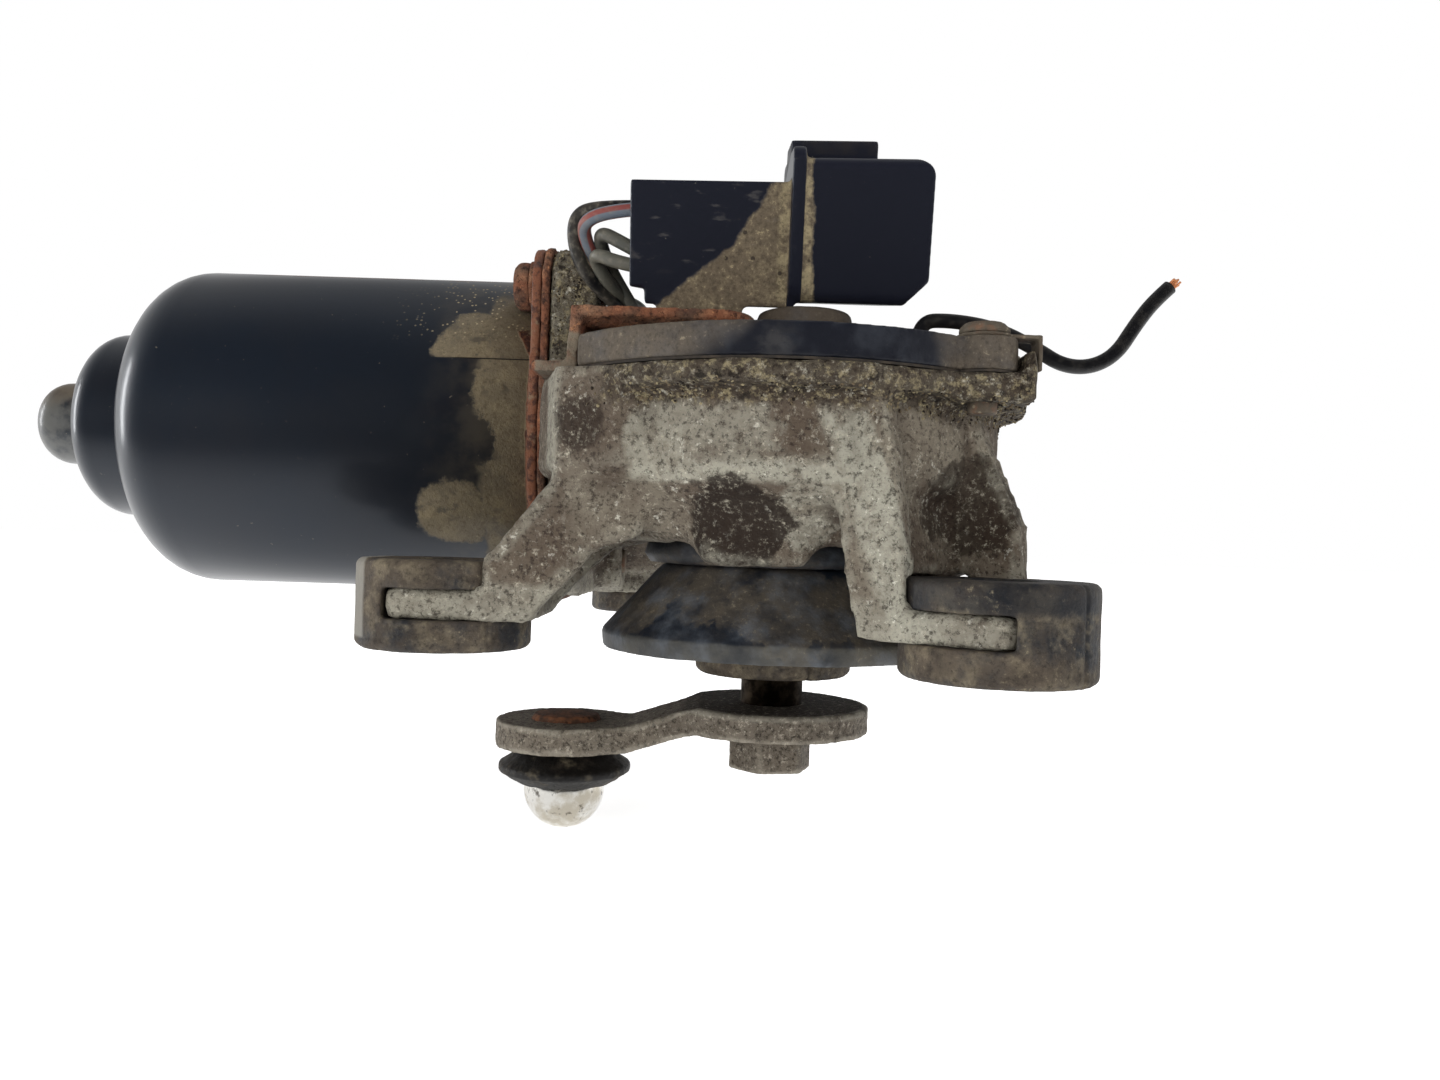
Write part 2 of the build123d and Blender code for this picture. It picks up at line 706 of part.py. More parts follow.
retainer_x = can_shoulder_x + can_wall
retainer_outer = nose_radius - can_wall - press_gap
with BuildPart() as bush_retainer:
    turned(
        motor_profile, motor_axis,
        (rear_bush_end, shaft_radius + 1.5), (rear_bush_end, rear_bush_radius),
        (retainer_x - 1.0, retainer_outer - 1.5), (retainer_x - 1.5, retainer_outer),
        (retainer_x, retainer_outer), (retainer_x, retainer_outer - 1.5),
        (rear_bush_end + 1.0, rear_bush_radius), (rear_bush_end + 1.0, shaft_radius + 1.5),
    )
save(bush_retainer, "bush_retainer")

with BuildPart() as thrust_ball:
    with Locations((tip_x + can_wall + thrust_ball_radius + press_gap, motor_y, motor_z)):
        Sphere(thrust_ball_radius)
save(thrust_ball, "thrust_ball")

with BuildPart() as front_bush:
    motor_ring(*front_bush_x, front_bush_radius, shaft_radius + running_gap)
save(front_bush, "front_bush")

with BuildPart() as end_bush:
    motor_ring(*end_bush_x, end_bush_radius, journal_radius + running_gap)
save(end_bush, "end_bush")

shaft_front = end_bush_x[1]
with BuildPart() as thrust_pad:
    motor_ring(shaft_front + press_gap, thrust_plug_x, end_bush_radius - 0.6)
save(thrust_pad, "thrust_pad")

with BuildPart() as thrust_plug:
    motor_ring(thrust_plug_x, tunnel_end - 0.4, end_bush_radius)
    with BuildSketch(across_motor(tunnel_end - 0.4)) as plug_slot:
        RegularPolygon(2.6, 6)
    extrude(amount=-2.2, mode=Mode.SUBTRACT)
save(thrust_plug, "thrust_plug")

# ================================================================ armature
worm_start = -worm_length / 2
half_thread = (axial_pitch - mesh_backlash) / 4
flank = tan(radians(pressure_angle))
thread_turns = 2 * (round(worm_length / axial_pitch / 2) + 1)
thread_x = -axial_pitch * (thread_turns / 2 + 0.25)  # a crest faces the wheel at x = 0

# Worm thread: a straight-sided rack section carried along a helix, its ends turned to a taper.
with BuildPart() as worm_thread:
    with BuildLine() as thread_path:
        Helix(axial_pitch, axial_pitch * thread_turns, worm_pitch_radius,
              center=(thread_x, motor_y, motor_z), direction=(1, 0, 0))
    start = thread_path.line @ 0
    outward = (start - Vector(thread_x, motor_y, motor_z)).normalized()
    section = Plane(origin=start, x_dir=(1, 0, 0), z_dir=Vector(1, 0, 0).cross(outward))
    thread_base = tooth_dedendum + thread_sink
    thread_foot = half_thread + flank * thread_base
    thread_crest = half_thread - flank * gear_module
    thread = outline(
        section,
        (-thread_foot, -thread_base), (thread_foot, -thread_base),
        (thread_crest, gear_module), (-thread_crest, gear_module),
    )
    sweep(thread, path=thread_path.line, is_frenet=True)
    turned(
        motor_profile, motor_axis,
        (worm_start, 0), (worm_start, worm_root_radius), (worm_start + 2, worm_tip_radius + 0.5),
        (-worm_start - 2, worm_tip_radius + 0.5), (-worm_start, worm_root_radius), (-worm_start, 0),
        mode=Mode.INTERSECT,
    )

with BuildPart() as armature_shaft:
    motor_ring(shaft_end, worm_start - 2, shaft_radius)
    motor_ring(worm_start - 3, -worm_start + 1, worm_root_radius)
    motor_ring(-worm_start, shaft_front, journal_radius)
    add(worm_thread.part)
    chamfer(armature_shaft.edges().group_by(Axis.X)[0], length=0.5)
save(armature_shaft, "armature_shaft")

stack_x = (stack_centre_x - stack_length / 2, stack_centre_x + stack_length / 2)
with BuildPart() as lamination_stack:
    with BuildSketch(across_motor(stack_x[0])) as lamination:
        Circle(stack_radius)
        Circle(shaft_radius, mode=Mode.SUBTRACT)
        with PolarLocations(stack_radius - slot_depth / 2, slot_count):
            Rectangle(slot_depth, slot_mouth, mode=Mode.SUBTRACT)
        with PolarLocations(stack_radius - 2 - slot_depth / 2, slot_count):
            Rectangle(slot_depth, slot_width, mode=Mode.SUBTRACT)
    extrude(amount=stack_length)
save(lamination_stack, "lamination_stack")

# Copper end turns on both sides of the stack; the turns in the slots are left out.
with BuildPart() as windings:
    for face, way in ((stack_x[0], -1), (stack_x[1], 1)):
        turned(
            motor_profile, motor_axis,
            (face + way * press_gap, shaft_radius + winding_gap), (face + way * press_gap, winding_radius),
            (face + way * winding_depth * 0.6, winding_radius),
            (face + way * winding_depth, winding_radius - 4),
            (face + way * winding_depth, shaft_radius + winding_gap),
        )
save(windings, "windings")

commutator_x = stack_x[1] + winding_depth + 1.0
with BuildPart() as commutator:
    motor_ring(commutator_x, commutator_x + commutator_length, commutator_radius, shaft_radius)
    motor_ring(commutator_x, commutator_x + commutator_rim, commutator_radius + commutator_rim, shaft_radius)
    with BuildSketch(across_motor(commutator_x)) as bar_gaps:
        with PolarLocations(commutator_radius + 1, slot_count):
            Rectangle(4, bar_gap)
    extrude(amount=commutator_length, mode=Mode.SUBTRACT)
save(commutator, "commutator")

# ================================================================ brush gear
brush_x = commutator_x + 2.2
card_x = plate_face - card_thickness
with BuildPart() as brush_card:
    motor_ring(card_x, plate_face, can_bore - loose_gap, plate_opening + 1)
save(brush_card, "brush_card")


def at_brushes(x, depth, inner, outer, width, hole=0.0):
    """One block per brush, radial from inner to outer, with an optional square way through it."""
    with BuildSketch(across_motor(x)) as blocks:
        for angle in brush_angles:
            with PolarLocations((inner + outer) / 2, 1, start_angle=angle):
                Rectangle(outer - inner, width)
                if hole:
                    Rectangle(outer - inner, hole, mode=Mode.SUBTRACT)
    extrude(blocks.sketch, amount=depth)


brush_outer = commutator_radius + brush_length
holder_inner = commutator_radius + 2.5
holder_outer = can_bore - 1.5
with BuildPart() as brushes:
    at_brushes(brush_x, brush_width, commutator_radius + running_gap, brush_outer, brush_width)
save(brushes, "brushes")

with BuildPart() as brush_holders:
    holder_x = brush_x - holder_wall
    holder_width = brush_width + 2 * holder_wall
    pocket_width = brush_width + 2 * running_gap
    at_brushes(holder_x, card_x - holder_x, holder_inner, holder_outer, holder_width, pocket_width)
    at_brushes(holder_x, holder_wall - running_gap, holder_inner, holder_outer, holder_width)
save(brush_holders, "brush_holders")

with BuildPart() as brush_springs:
    for angle in brush_angles:
        way = Vector(0, cos(radians(angle)), sin(radians(angle)))
        foot = Vector(brush_x + brush_width / 2, motor_y, motor_z) + way * (brush_outer + press_gap)
        with BuildSketch(Plane(origin=foot, z_dir=way)) as coil:
            Circle(brush_width / 2 - 0.3)
            Circle(brush_width / 2 - 0.9, mode=Mode.SUBTRACT)
        extrude(coil.sketch, amount=holder_outer - brush_outer)
save(brush_springs, "brush_springs")

with BuildPart() as choke_coils:
    with BuildSketch(across_motor(card_x)) as chokes:
        for angle in choke_angles:
            with PolarLocations(choke_place_radius, 1, start_angle=angle):
                Circle(choke_radius)
    extrude(amount=-choke_length)
save(choke_coils, "choke_coils")

# ================================================================ worm wheel and output shaft
def involute(angle):
    return tan(angle) - angle


def tooth_half_angle(radius):
    """Half the angle that one wheel tooth takes up at a radius."""
    base = wheel_pitch_radius * cos(radians(pressure_angle))
    half_tooth = (axial_pitch - mesh_backlash) / 4
    return half_tooth / wheel_pitch_radius + involute(radians(pressure_angle)) - involute(acos(base / radius))


def wheel_outline(height, turn):
    """The toothed outline, with a gap facing the worm, turned by an angle for the teeth's slant."""
    radii = (wheel_pitch_radius - tooth_dedendum, wheel_pitch_radius, wheel_pitch_radius + gear_module)
    corners = []
    for tooth in range(wheel_teeth):
        middle = pi / 2 + turn + 2 * pi * (tooth + 0.5) / wheel_teeth
        half = [(radius, tooth_half_angle(radius)) for radius in radii]
        for radius, angle in [(r, -a) for r, a in half] + [(r, a) for r, a in reversed(half)]:
            corners.append((radius * cos(middle + angle), radius * sin(middle + angle)))
    return outline(Plane.XY.offset(height), *corners)


wheel_bottom = motor_z - wheel_face / 2
wheel_slant = wheel_face / 2 * lead_tangent / wheel_pitch_radius
hub_bottom = chamber_floor + boss_rise + washer_thickness + 2 * press_gap
with BuildPart() as worm_wheel:
    wheel_top = wheel_bottom + wheel_face
    loft([wheel_outline(wheel_bottom, -wheel_slant), wheel_outline(wheel_top, wheel_slant)], ruled=True)
    for level, way in ((wheel_bottom, 1), (wheel_bottom + wheel_face, -1)):
        with BuildSketch(Plane.XY.offset(level)) as hollow:
            Circle(wheel_pitch_radius - wheel_rim)
            Circle(hub_radius, mode=Mode.SUBTRACT)
            with PolarLocations(wheel_pitch_radius / 2, 6):
                Rectangle(wheel_pitch_radius, wheel_rib, mode=Mode.SUBTRACT)
        extrude(hollow.sketch, amount=way * wheel_hollow, mode=Mode.SUBTRACT)
    output_ring(hub_bottom, wheel_bottom + wheel_face, hub_radius)
    output_ring(hub_bottom, wheel_bottom + wheel_face, output_radius + press_gap, mode=Mode.SUBTRACT)
save(worm_wheel, "worm_wheel")

shaft_top = wheel_bottom + wheel_face + drive_plate_thickness + 0.8
with BuildPart() as output_shaft:
    output_ring(arm_top, shaft_top, output_radius)
    output_ring(arm_top - arm_thickness, arm_top, output_radius - spline_depth)
    thread_end = arm_top - arm_thickness - nut_height + thread_short
    output_ring(thread_end, arm_top - arm_thickness, thread_diameter / 2)
    groove_radius = output_radius - ring_groove_depth
    groove_top = ring_groove + ring_thickness
    output_ring(ring_groove, groove_top, output_radius + 1, groove_radius, mode=Mode.SUBTRACT)
    chamfer(output_shaft.edges().group_by(Axis.Z)[0], length=0.6)
    chamfer(output_shaft.edges().group_by(Axis.Z)[-1], length=0.6)
save(output_shaft, "output_shaft")

# Steel plate that keys the wheel to the shaft, and the park contact disc on it.
with BuildPart() as drive_plate:
    output_ring(wheel_bottom + wheel_face + press_gap, wheel_bottom + wheel_face + drive_plate_thickness,
                drive_plate_radius, output_radius + press_gap)
save(drive_plate, "drive_plate")

disc_bottom = wheel_bottom + wheel_face + press_gap
with BuildPart() as park_disc:
    output_ring(disc_bottom, disc_bottom + park_thickness, park_radius, drive_plate_radius + loose_gap)
    with BuildSketch(Plane.XY.offset(disc_bottom)) as park_notch:
        with Locations((0, -park_radius)):
            Rectangle(*park_notch_size)
    extrude(amount=park_thickness, mode=Mode.SUBTRACT)
save(park_disc, "park_disc")

with BuildPart() as output_bushes:
    for bottom in (boss_bottom, chamber_floor + boss_rise - bush_length):
        output_ring(bottom, bottom + bush_length, bush_radius, output_radius + running_gap)
save(output_bushes, "output_bushes")

with BuildPart() as shaft_seal:
    seal_bottom = boss_bottom + bush_length + press_gap
    output_ring(seal_bottom, seal_bottom + seal_length, bush_radius - press_gap, output_radius + running_gap)
save(shaft_seal, "shaft_seal")

with BuildPart() as thrust_washers:
    washer_base = chamber_floor + boss_rise + press_gap
    output_ring(washer_base, washer_base + washer_thickness, boss_radius - 1, output_radius + running_gap)
    output_ring(ring_groove + ring_thickness + press_gap, boss_bottom - press_gap, boss_radius - 1.5,
                output_radius + running_gap)
save(thrust_washers, "thrust_washers")

with BuildPart() as retaining_ring:
    with BuildSketch(Plane.XY.offset(ring_groove + press_gap)) as e_ring:
        Circle(output_radius + ring_rim)
        Circle(output_radius - ring_groove_depth + press_gap, mode=Mode.SUBTRACT)
        with Locations((0, output_radius + 1)):
            Rectangle(6, 2 * output_radius, mode=Mode.SUBTRACT)
    extrude(amount=ring_thickness - 2 * press_gap)
save(retaining_ring, "retaining_ring")

# ================================================================ crank arm, nut and ball stud
arm_end_top = arm_top - arm_joggle
with BuildPart() as crank_arm:
    with BuildSketch(Plane.XY.offset(arm_end_top - arm_thickness)) as arm_plan:
        Circle(arm_hub_diameter / 2)
        with Locations((-arm_radius, 0)):
            Circle(arm_end_diameter / 2)
        with Locations((-arm_radius / 2, 0)):
            Rectangle(arm_radius, arm_waist)
        fillet(arm_plan.vertices(), radius=arm_waist_fillet)
    extrude(amount=arm_joggle + arm_thickness)
    bend_in = -(arm_radius - arm_end_diameter / 2 + 1.0)
    bend_out = -arm_hub_diameter / 2 + 4.0
    side_view = outline(
        Plane.XZ,
        (arm_hub_diameter, arm_top), (bend_out, arm_top), (bend_in, arm_end_top),
        (-2 * arm_radius, arm_end_top), (-2 * arm_radius, arm_end_top - arm_thickness),
        (bend_in, arm_end_top - arm_thickness),
        (bend_out, arm_top - arm_thickness), (arm_hub_diameter, arm_top - arm_thickness),
    )
    extrude(side_view, amount=arm_hub_diameter, both=True, mode=Mode.INTERSECT)
    arm_bore = output_radius - spline_depth + press_gap
    output_ring(arm_top - arm_thickness - 1, arm_top + 1, arm_bore, mode=Mode.SUBTRACT)
    with Locations((-arm_radius, 0, arm_end_top)):
        Hole(rivet_radius + press_gap, depth=arm_thickness)
save(crank_arm, "crank_arm")

arm_under = arm_top - arm_thickness
with BuildPart() as crank_nut:
    with BuildSketch(Plane.XY.offset(arm_under - press_gap)) as hexagon:
        RegularPolygon(nut_across_flats / 2, 6, major_radius=False, rotation=nut_turn)
        Circle(thread_diameter / 2 + press_gap, mode=Mode.SUBTRACT)
    extrude(amount=-nut_height)
    output_ring(arm_under - nut_height - 1, arm_under, nut_across_flats / 2 + 0.7, mode=Mode.INTERSECT)
save(crank_nut, "crank_nut")

ball_z = arm_end_top - ball_drop
arm_end_under = arm_end_top - arm_thickness
stud_axis = Axis((-arm_radius, 0, 0), (0, 0, 1))
stud_profile = Plane(origin=(-arm_radius, 0, 0), x_dir=(1, 0, 0), z_dir=(0, -1, 0))
with BuildPart() as ball_stud:
    with Locations((-arm_radius, 0, ball_z)):
        Sphere(ball_diameter / 2)
    with BuildSketch(Plane.XY.offset(ball_z)) as neck:
        with Locations((-arm_radius, 0)):
            Circle(ball_neck_diameter / 2)
    extrude(amount=arm_end_under - press_gap - ball_z)
    turned(
        stud_profile, stud_axis,
        (0, arm_end_under - 0.5), (rivet_radius, arm_end_under - 0.5),
        (rivet_radius, arm_end_top + press_gap), (rivet_head_radius, arm_end_top + press_gap),
        (rivet_head_radius - 0.6, arm_end_top + 0.7 * rivet_head_height),
        (0, arm_end_top + rivet_head_height),
    )
save(ball_stud, "ball_stud")

with BuildPart() as ball_boot:
    boot_neck = ball_neck_diameter / 2 + press_gap
    boot_top = arm_end_under - 2 * press_gap
    boot_radius = boot_diameter / 2
    lip_z = boot_top - boot_slope
    turned(
        stud_profile, stud_axis,
        (boot_neck, boot_top), (boot_neck + 1.5 * boot_wall, boot_top),
        (boot_radius, lip_z), (boot_radius, lip_z - boot_rim),
        (boot_radius - 2.4 * boot_wall, boot_top - boot_height),
        (boot_radius - 2.9 * boot_wall, boot_top - boot_height + 0.4),
        (boot_radius - 1.7 * boot_wall, lip_z - 0.7),
        (boot_neck + boot_wall, boot_top - boot_wall), (boot_neck, boot_top - boot_wall),
    )
save(ball_boot, "ball_boot")

# ================================================================ gear cover and what is under it
with BuildPart() as gear_cover:
    extrude(cover_outline(Plane.XY.offset(rim_bottom), 0), amount=cover_rim)
    # Rest boss for the front of the connector.
    with BuildSketch(Plane.XY.offset(cover_top)) as rest:
        with Locations(rest_at):
            Circle(rest_radius)
    extrude(amount=connector_bottom - press_gap - cover_top)
    fillet(gear_cover.faces().sort_by(Axis.Z)[-1].edges(), radius=cover_wall)
    # Hollow inside, but solid where the screws clamp it and under the rest.
    extrude(cover_inside(Plane.XY.offset(rim_bottom)), amount=cover_rim - cover_wall, mode=Mode.SUBTRACT)
    with Locations(*[(x, y, cover_top) for x, y in cover_screws_at]):
        Hole(cover_screw_diameter / 2 + loose_gap, depth=cover_rim)
    with Locations((*lead_grommet_at, cover_top)):
        Hole(grommet_waist + press_gap, depth=cover_wall)
    with Locations((*ground_bush_at, cover_top)):
        Hole(ground_bush_radius - ground_bush_lip + press_gap, depth=cover_wall)
save(gear_cover, "gear_cover")

with BuildPart() as cover_gasket:
    gasket_plan = cover_outline(Plane.XY.offset(cover_plane + press_gap), -0.2)
    extrude(gasket_plan, amount=gasket_thickness - 2 * press_gap)
    with BuildSketch(Plane.XY.offset(cover_plane)) as gasket_window:
        Circle(chamber_radius + 0.5)
        with Locations((0, cover_bay[1] / 2)):
            Rectangle(cover_bay[0] - 6, cover_bay[1] - 4)
        with Locations((cover_cut - chamber_radius + 2.0, 0)):
            Rectangle(2 * chamber_radius, 4 * chamber_radius, mode=Mode.SUBTRACT)
    extrude(amount=gasket_thickness, mode=Mode.SUBTRACT)
    with Locations(*[(x, y, cover_top) for x, y in cover_screws_at]):
        Hole(cover_screw_diameter / 2 + loose_gap)
save(cover_gasket, "cover_gasket")


clip_seat = cover_top + press_gap
head_seats = [clip_seat + (clip_thickness + press_gap if at == lug_front else 0) for at in cover_screws_at]
with BuildPart() as cover_screws:
    for place, seat in zip(cover_screws_at, head_seats):
        with BuildSketch(Plane.XY.offset(seat)) as screw_head:
            with Locations(place):
                Circle(cover_head_diameter / 2)
        extrude(amount=cover_head_height)
        with BuildSketch(Plane.XY.offset(seat)) as screw_shank:
            with Locations(place):
                Circle(cover_screw_diameter / 2)
        extrude(amount=cover_plane - cover_screw_reach - seat)
    tops = cover_screws.faces().filter_by(Axis.Z).filter_by(lambda face: face.center().Z > clip_seat + 1)
    chamfer(tops.edges(), length=head_chamfer)
    for place, seat in zip(cover_screws_at, head_seats):
        with BuildSketch(Plane.XY.offset(seat + cover_head_height)) as recess:
            with Locations(place):
                Rectangle(3.4, 0.9)
                Rectangle(0.9, 3.4)
        extrude(amount=-head_chamfer, mode=Mode.SUBTRACT)
save(cover_screws, "cover_screws")

# Strip under the front screw that keeps the cut wire down and hooks over the lug's edge.
clip_x = upstand_x + loose_gap
with BuildPart() as wire_clip:
    with BuildSketch(Plane.XY.offset(clip_seat)) as clip_pad:
        with Locations(lug_front):
            Circle(cover_head_diameter / 2 + 0.4)
        with Locations(((lug_front[0] + clip_x) / 2, lug_front[1])):
            Rectangle(clip_x - lug_front[0], clip_width)
        with Locations(lug_front):
            Circle(cover_screw_diameter / 2 + loose_gap, mode=Mode.SUBTRACT)
    extrude(amount=clip_thickness)
    with BuildSketch(Plane.XY.offset(clip_seat + clip_thickness)) as clip_tab:
        with Locations((clip_x + clip_thickness / 2, lug_front[1])):
            Rectangle(clip_thickness, clip_width)
    extrude(amount=-clip_drop)
save(wire_clip, "wire_clip")

contact_z = cover_ceiling - contact_plate_thickness - press_gap
with BuildPart() as contact_plate:
    with BuildSketch(Plane.XY.offset(contact_z)) as board:
        Circle(contact_plate_radius)
        with Locations((0, contact_plate_radius)):
            Rectangle(3 * contact_plate_radius, 1.3 * contact_plate_radius, mode=Mode.SUBTRACT)
        with Locations(ground_bush_at):
            Circle(ground_bush_radius + loose_gap, mode=Mode.SUBTRACT)
    extrude(amount=contact_plate_thickness)
save(contact_plate, "contact_plate")

disc_top = disc_bottom + park_thickness
with BuildPart() as contact_fingers:
    for reach in finger_radii:
        turn = Plane.XY.offset(disc_top + 0.05)
        with BuildSketch(turn) as finger:
            with Locations((finger_length / 2, -reach)):
                Rectangle(finger_length, finger_width)
        extrude(finger.sketch, amount=finger_thickness)
        with BuildSketch(turn) as finger_foot:
            with Locations((finger_length - finger_foot_length / 2, -reach)):
                Rectangle(finger_foot_length, finger_width)
        extrude(finger_foot.sketch, amount=contact_z - disc_top - 0.05 - press_gap)
save(contact_fingers, "contact_fingers")

# ================================================================ seals at the output
with BuildPart() as cone_seal:
    turned(
        output_profile, output_axis,
        (boss_radius + press_gap, cone_collar), (boss_radius + cone_wall, cone_collar),
        (boss_radius + 3.4, cone_top - cone_wall),
        (cone_top_radius - 1.2, cone_top - cone_wall), (cone_rim_radius - cone_wall, 2.6),
        (cone_rim_radius - cone_wall, 0.0), (cone_rim_radius, 0.0), (cone_rim_radius + 0.3, 2.6),
        (cone_rim_radius - 0.6, 3.6), (cone_top_radius + 0.6, cone_top - 0.5),
        (cone_top_radius - 0.4, cone_top),
        (boss_radius + press_gap, cone_top),
    )
save(cone_seal, "cone_seal")

with BuildPart() as dust_cap:
    output_ring(-cap_height, 0.0, cap_radius)
    chamfer(dust_cap.edges().filter_by(GeomType.CIRCLE), length=cap_chamfer)
    output_ring(boss_bottom, 0.0, boss_radius + press_gap, mode=Mode.SUBTRACT)
    output_ring(-cap_height + cap_floor, boss_bottom, boss_radius - 0.6, mode=Mode.SUBTRACT)
    output_ring(-cap_height, boss_bottom, output_radius + running_gap, mode=Mode.SUBTRACT)
save(dust_cap, "dust_cap")

# ================================================================ rubber feet with their steel sleeves
neck_radius = fork_slot / 2 - press_gap
for foot in feet:
    with BuildPart() as foot_grommet:
        with BuildSketch(foot_plane(foot)) as disc:
            Circle(foot_diameter / 2)
        extrude(amount=foot_height)
        chamfer(foot_grommet.edges().filter_by(GeomType.CIRCLE), length=foot_chamfer)
        # Groove for the fork: round the neck inboard, straight past it, closed outboard.
        with BuildSketch(foot_plane(foot, ear_bottom - press_gap)) as groove:
            with Locations((fork_reach + loose_gap - foot_diameter / 2, 0)):
                Rectangle(foot_diameter, 2 * foot_diameter)
            Circle(neck_radius, mode=Mode.SUBTRACT)
            with Locations((foot_diameter / 2, 0)):
                Rectangle(foot_diameter, 2 * neck_radius, mode=Mode.SUBTRACT)
        extrude(amount=ear_thickness + 2 * press_gap, mode=Mode.SUBTRACT)
        with BuildSketch(foot_plane(foot)) as sleeve_seat:
            Circle(sleeve_outer + press_gap)
        extrude(amount=foot_height, mode=Mode.SUBTRACT)
    save(foot_grommet, f"foot_grommet_{foot}")

    with BuildPart() as foot_sleeve:
        with BuildSketch(foot_plane(foot, sleeve_inset)) as tube:
            Circle(sleeve_outer)
            Circle(sleeve_bore / 2, mode=Mode.SUBTRACT)
        extrude(amount=foot_height - 2 * sleeve_inset)
    save(foot_sleeve, f"foot_sleeve_{foot}")

# ================================================================ connector and its bracket
def connector_block(x_from, x_to, z_from, z_to, inset=0.0, mode=Mode.ADD):
    """A block of the connector, inset the same way on both sides of its width."""
    with BuildSketch(Plane.XY.offset(z_from)) as plan:
        with Locations(((x_from + x_to) / 2, connector_middle)):
            Rectangle(x_to - x_from, connector_width - 2 * inset)
    extrude(plan.sketch, amount=z_to - z_from, mode=mode)


# Housing as if it stood upright; it is leaned back when it is put together with its rail.
with BuildPart() as upright_connector:
    # Shroud: its lower front corner is cut off on a slant.
    shroud_bottom = connector_bottom + shroud_step
    shroud_side = outline(
        Plane.XZ.offset(-connector_back_y),
        (shroud_x - rib_depth, shroud_bottom), (connector_mouth_x - shroud_chamfer, shroud_bottom),
        (connector_mouth_x, shroud_bottom + shroud_chamfer), (connector_mouth_x, shroud_top),
        (shroud_x - rib_depth, shroud_top),
    )
    extrude(shroud_side, amount=connector_width)
    fillet(upright_connector.edges().filter_by(Axis.X), radius=shroud_fillet)
    connector_block(connector_rear_x, shroud_x - 1, connector_bottom + notch_height, body_top, body_inset)
    connector_block(connector_rear_x + notch_length, shroud_x - 1, connector_bottom, body_top, body_inset)
    with BuildSketch(Plane.YZ.offset(shroud_x - rib_depth)) as rib_plate:
        with Locations((connector_middle, (rib_bottom + rib_top) / 2)):
            RectangleRounded(connector_width + 0.8, rib_top - rib_bottom, 2.0)
    extrude(amount=rib_depth)
    # Lock block on top.
    connector_block(shroud_x - rib_depth, lock_end_x, shroud_top - 1, lock_top, lock_inset)
    # Mouth of the shroud, and the ways for the blades.
    connector_block(socket_x, connector_mouth_x, shroud_bottom + shroud_wall, shroud_top - shroud_wall,
                    shroud_wall, mode=Mode.SUBTRACT)
    with BuildSketch(Plane.YZ.offset(shroud_x)) as terminal_ways:
        with Locations(*terminal_places):
            Rectangle(blade_width + 2 * press_gap, blade_thickness + 2 * press_gap)
    extrude(amount=socket_x - shroud_x, mode=Mode.SUBTRACT)

with BuildPart() as connector_housing:
    add(upright_connector.part.rotate(lean_axis, connector_lean))
    # Rail that sits flat on the bracket.
    with BuildSketch(Plane.XY.offset(bracket_top + press_gap)) as rail:
        with Locations(((rail_x[0] + rail_x[1]) / 2, (rail_y[0] + rail_y[1]) / 2)):
            Rectangle(rail_x[1] - rail_x[0], rail_y[1] - rail_y[0])
    extrude(amount=connector_bottom + shroud_wall - bracket_top)
save(connector_housing, "connector_housing")

with BuildPart() as upright_terminals:
    with BuildSketch(Plane.YZ.offset(shroud_x + press_gap)) as blades:
        with Locations(*terminal_places):
            Rectangle(blade_width, blade_thickness)
    extrude(amount=blade_end_x - shroud_x)

with BuildPart() as connector_terminals:
    add(upright_terminals.part.rotate(lean_axis, connector_lean))
save(connector_terminals, "connector_terminals")

# Bracket: a foot screwed to the casting's corner, a riser, and a strip over the cover.
strip_bottom = bracket_top - bracket_thickness
with BuildPart() as connector_bracket:
    bracket_side = outline(
        Plane.XZ.offset(-bracket_y[1]),
        (bracket_foot_x, cover_plane), (bracket_riser_x, cover_plane), (bracket_riser_x + 0.6, strip_bottom),
        (bracket_end_x, strip_bottom), (bracket_end_x, bracket_top),
        (bracket_riser_x - bracket_thickness + 0.6, bracket_top),
        (bracket_riser_x - bracket_thickness, cover_plane + bracket_thickness),
        (bracket_foot_x, cover_plane + bracket_thickness),
    )
    extrude(bracket_side, amount=bracket_y[1] - bracket_y[0])
    fillet(connector_bracket.edges().filter_by(Axis.Z).group_by(Axis.X)[-1], radius=bracket_corner)
    with Locations((*bracket_screw_at, bracket_top)):
        Hole(bracket_screw_diameter / 2 + loose_gap)
    # Arched tab turned up under the connector's rear notch.
    with BuildSketch(Plane.XZ.offset(-tab_y)) as tab:
        with Locations(((tab_x[0] + tab_x[1]) / 2, (strip_bottom + tab_top) / 2)):
            RectangleRounded(tab_x[1] - tab_x[0], tab_top - strip_bottom, 1.8)
    extrude(amount=bracket_thickness)
save(connector_bracket, "connector_bracket")

with BuildPart() as bracket_screw:
    screw_foot = cover_plane + bracket_thickness + press_gap
    with BuildSketch(Plane.XY.offset(screw_foot)) as bracket_head:
        with Locations(bracket_screw_at):
            Circle(bracket_head_diameter / 2)
    extrude(amount=bracket_head_height)
    chamfer(bracket_screw.faces().sort_by(Axis.Z)[-1].edges(), length=head_chamfer)
    with BuildSketch(Plane.XY.offset(screw_foot)) as bracket_shank:
        with Locations(bracket_screw_at):
            Circle(bracket_screw_diameter / 2)
    extrude(amount=-(cover_screw_reach + bracket_thickness))
save(bracket_screw, "bracket_screw")

